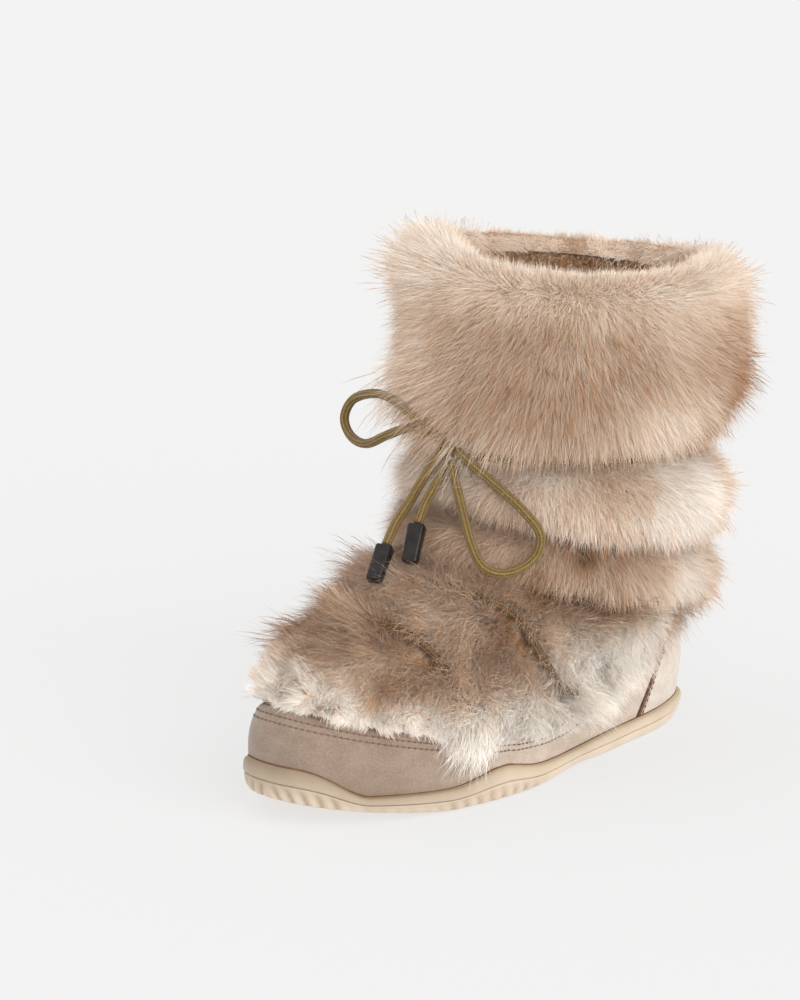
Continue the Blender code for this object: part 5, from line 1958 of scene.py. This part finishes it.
def small_object(name, shape):
    """An object with a small shape that a tree copies; it is removed after use."""
    bm = bmesh.new()
    shape(bm)
    return add_object(name, mesh_from(name, bm))


def thread_shape(bm):
    bmesh.ops.create_uvsphere(bm, u_segments=6, v_segments=5, radius=0.5)
    bmesh.ops.rotate(bm, matrix=Vector((1, 0, 0)).to_track_quat("Z", "Y").to_matrix(), verts=bm.verts)
    bmesh.ops.scale(bm, vec=[size * MM for size in STITCH_SIZE], verts=bm.verts)


def hole_shape(bm):
    bmesh.ops.create_cone(
        bm, cap_ends=True, segments=8, radius1=HOLE_RADIUS * MM, radius2=HOLE_NARROWS * HOLE_RADIUS * MM,
        depth=HOLE_HEIGHT * MM,
    )


def rand_row(drop):
    """Points along the rand, some way below its top line, from one heel seam to the other."""
    seam = seam_turn(rand_lines, STITCH_SEAM_SHARE)
    share = np.linspace(0, 1, ROW_POINTS)
    turn = mix(seam + STITCH_SEAM_GAP, FULL_TURN - seam - STITCH_SEAM_GAP, share)
    level = level_at(turn, rand_height(turn) - drop)
    base = skin(level, turn)
    normals = outward(level, turn)
    return base + normals * (SUEDE_GAP + RAND - crease_depth(base))[:, None], normals


def seam_row(side, behind, depth):
    """Points along the heel seam on one side, some way behind it."""
    share = np.linspace(*SEAM_SHARES, SEAM_POINTS)
    turn = seam_turn(counter_lines, share)
    level = level_at(turn, mix(*counter_lines(turn), share))
    per_turn = np.linalg.norm(skin(level, turn + NUDGE) - skin(level, turn - NUDGE), axis=-1) / (2 * NUDGE)
    turn = side * (turn - behind / per_turn)
    base = skin(level, turn)
    normals = outward(level, turn)
    return base + normals * (depth - crease_depth(base))[:, None], normals


rand_rows = [rand_row(drop) for drop in STITCH_DROPS]
heel_rows = [seam_row(side, SEAM_BEHIND, SUEDE_GAP + COUNTER) for side in (1, -1)]
print("stitch rows:", len(rand_rows) + len(heel_rows))

# %% Stitches and seam edges
def thread_edge_and_shade_finish(name, colour, pale):
    """Twisted thread, cut edges and dark marks of painted shade: fine slanting light and dark."""
    material, tree, shader = new_material(name, roughness=0.7, specular=0.25)
    grain = use_group(tree, GRAIN, Patch_Size=0.003, Grain_Size=0.0003, Stretch=(1.0, 1.0, 2.0))
    tone = ramp(tree, grain.outputs["Grain"], ((0.35, colour), (0.65, pale)))
    tree.links.new(tone, shader.inputs["Base Color"])
    bump(tree, shader, grain.outputs["Grain"], distance=0.0002, strength=0.5)
    return material


def tube_mesh(name, route, radius, sides):
    """A closed tube of a small radius along a route."""
    rings = swept_rings(route, np.linspace(0, FULL_TURN, sides, endpoint=False), radius)
    faces = grid_faces(len(route), sides, True)
    faces += [tuple(range(sides)), tuple(range((len(route) - 1) * sides, len(route) * sides))]
    return outline_mesh(name, rings.reshape(-1, 3), faces)


THREAD = thread_edge_and_shade_finish("beige_thread", srgb(98, 76, 60), srgb(136, 110, 90))
# Needle holes are small dark cones of painted shade.
NEEDLE_HOLE_SHADE = thread_edge_and_shade_finish("needle_hole_shade", srgb(70, 50, 36), srgb(104, 78, 58))
# The cut edge's brown also makes the rim's line of painted shadow, below.
CUT_EDGE_AND_SHADOW_LINE = thread_edge_and_shade_finish("cut_edge_and_shadow_line", srgb(84, 54, 38), srgb(132, 96, 72))
thread = small_object("thread", thread_shape)
hole = small_object("hole", hole_shape)
for label, rows, slot in (("rand", rand_rows, "suede"), ("heel", heel_rows, "heel_suede")):
    for kind, thing, finish, offset in (("stitches", thread, THREAD, 0.0), ("needle_holes", hole, NEEDLE_HOLE_SHADE, 0.5)):
        values = {"Stitch": thing, "Finish": finish}
        row = row_mesh(label + "_row", rows, offset)
        sewn = run_tree(f"{label}_{kind}", row, STITCH_TREE, values, ("up", "ahead"))
        keep(f"{label}_{kind}", sewn, finish, slot)
for thing in (thread, hole):
    bpy.data.objects.remove(thing)
for label, side in (("outer", 1), ("inner", -1)):
    route = seam_row(side, -SEAM_AHEAD, SUEDE_GAP + COUNTER - SEAM_SUNK)[0]
    edge = tube_mesh(f"heel_seam_edge_{label}", route, SEAM_RADIUS, SEAM_SIDES)
    keep(f"heel_seam_edge_{label}", edge, CUT_EDGE_AND_SHADOW_LINE, "heel_suede")
# A thin dark tube where the suede meets the sole's rim is painted shadow.
turn = np.linspace(0, FULL_TURN, ROW_POINTS)
line = raised(level_at(turn, rim_height(turn) + RIM_SHADOW_LINE_RISE), turn, np.full(ROW_POINTS, SUEDE_GAP + RAND))
keep("rim_line", tube_mesh("rim_line", line, RIM_SHADOW_LINE, SEAM_SIDES), CUT_EDGE_AND_SHADOW_LINE, "suede")
print("materials:", THREAD.name, NEEDLE_HOLE_SHADE.name, CUT_EDGE_AND_SHADOW_LINE.name)

# %% [markdown]
# ## Finish
# The last cell counts the pieces that were made and their triangles.

# %% Finish
made = [each for each in bpy.context.scene.objects if each.type == "MESH" and each.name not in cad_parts]
total = sum(triangles(each.data) for each in made if each is not floor)
print("pieces:", len(made) - 1, "with", total, "triangles")
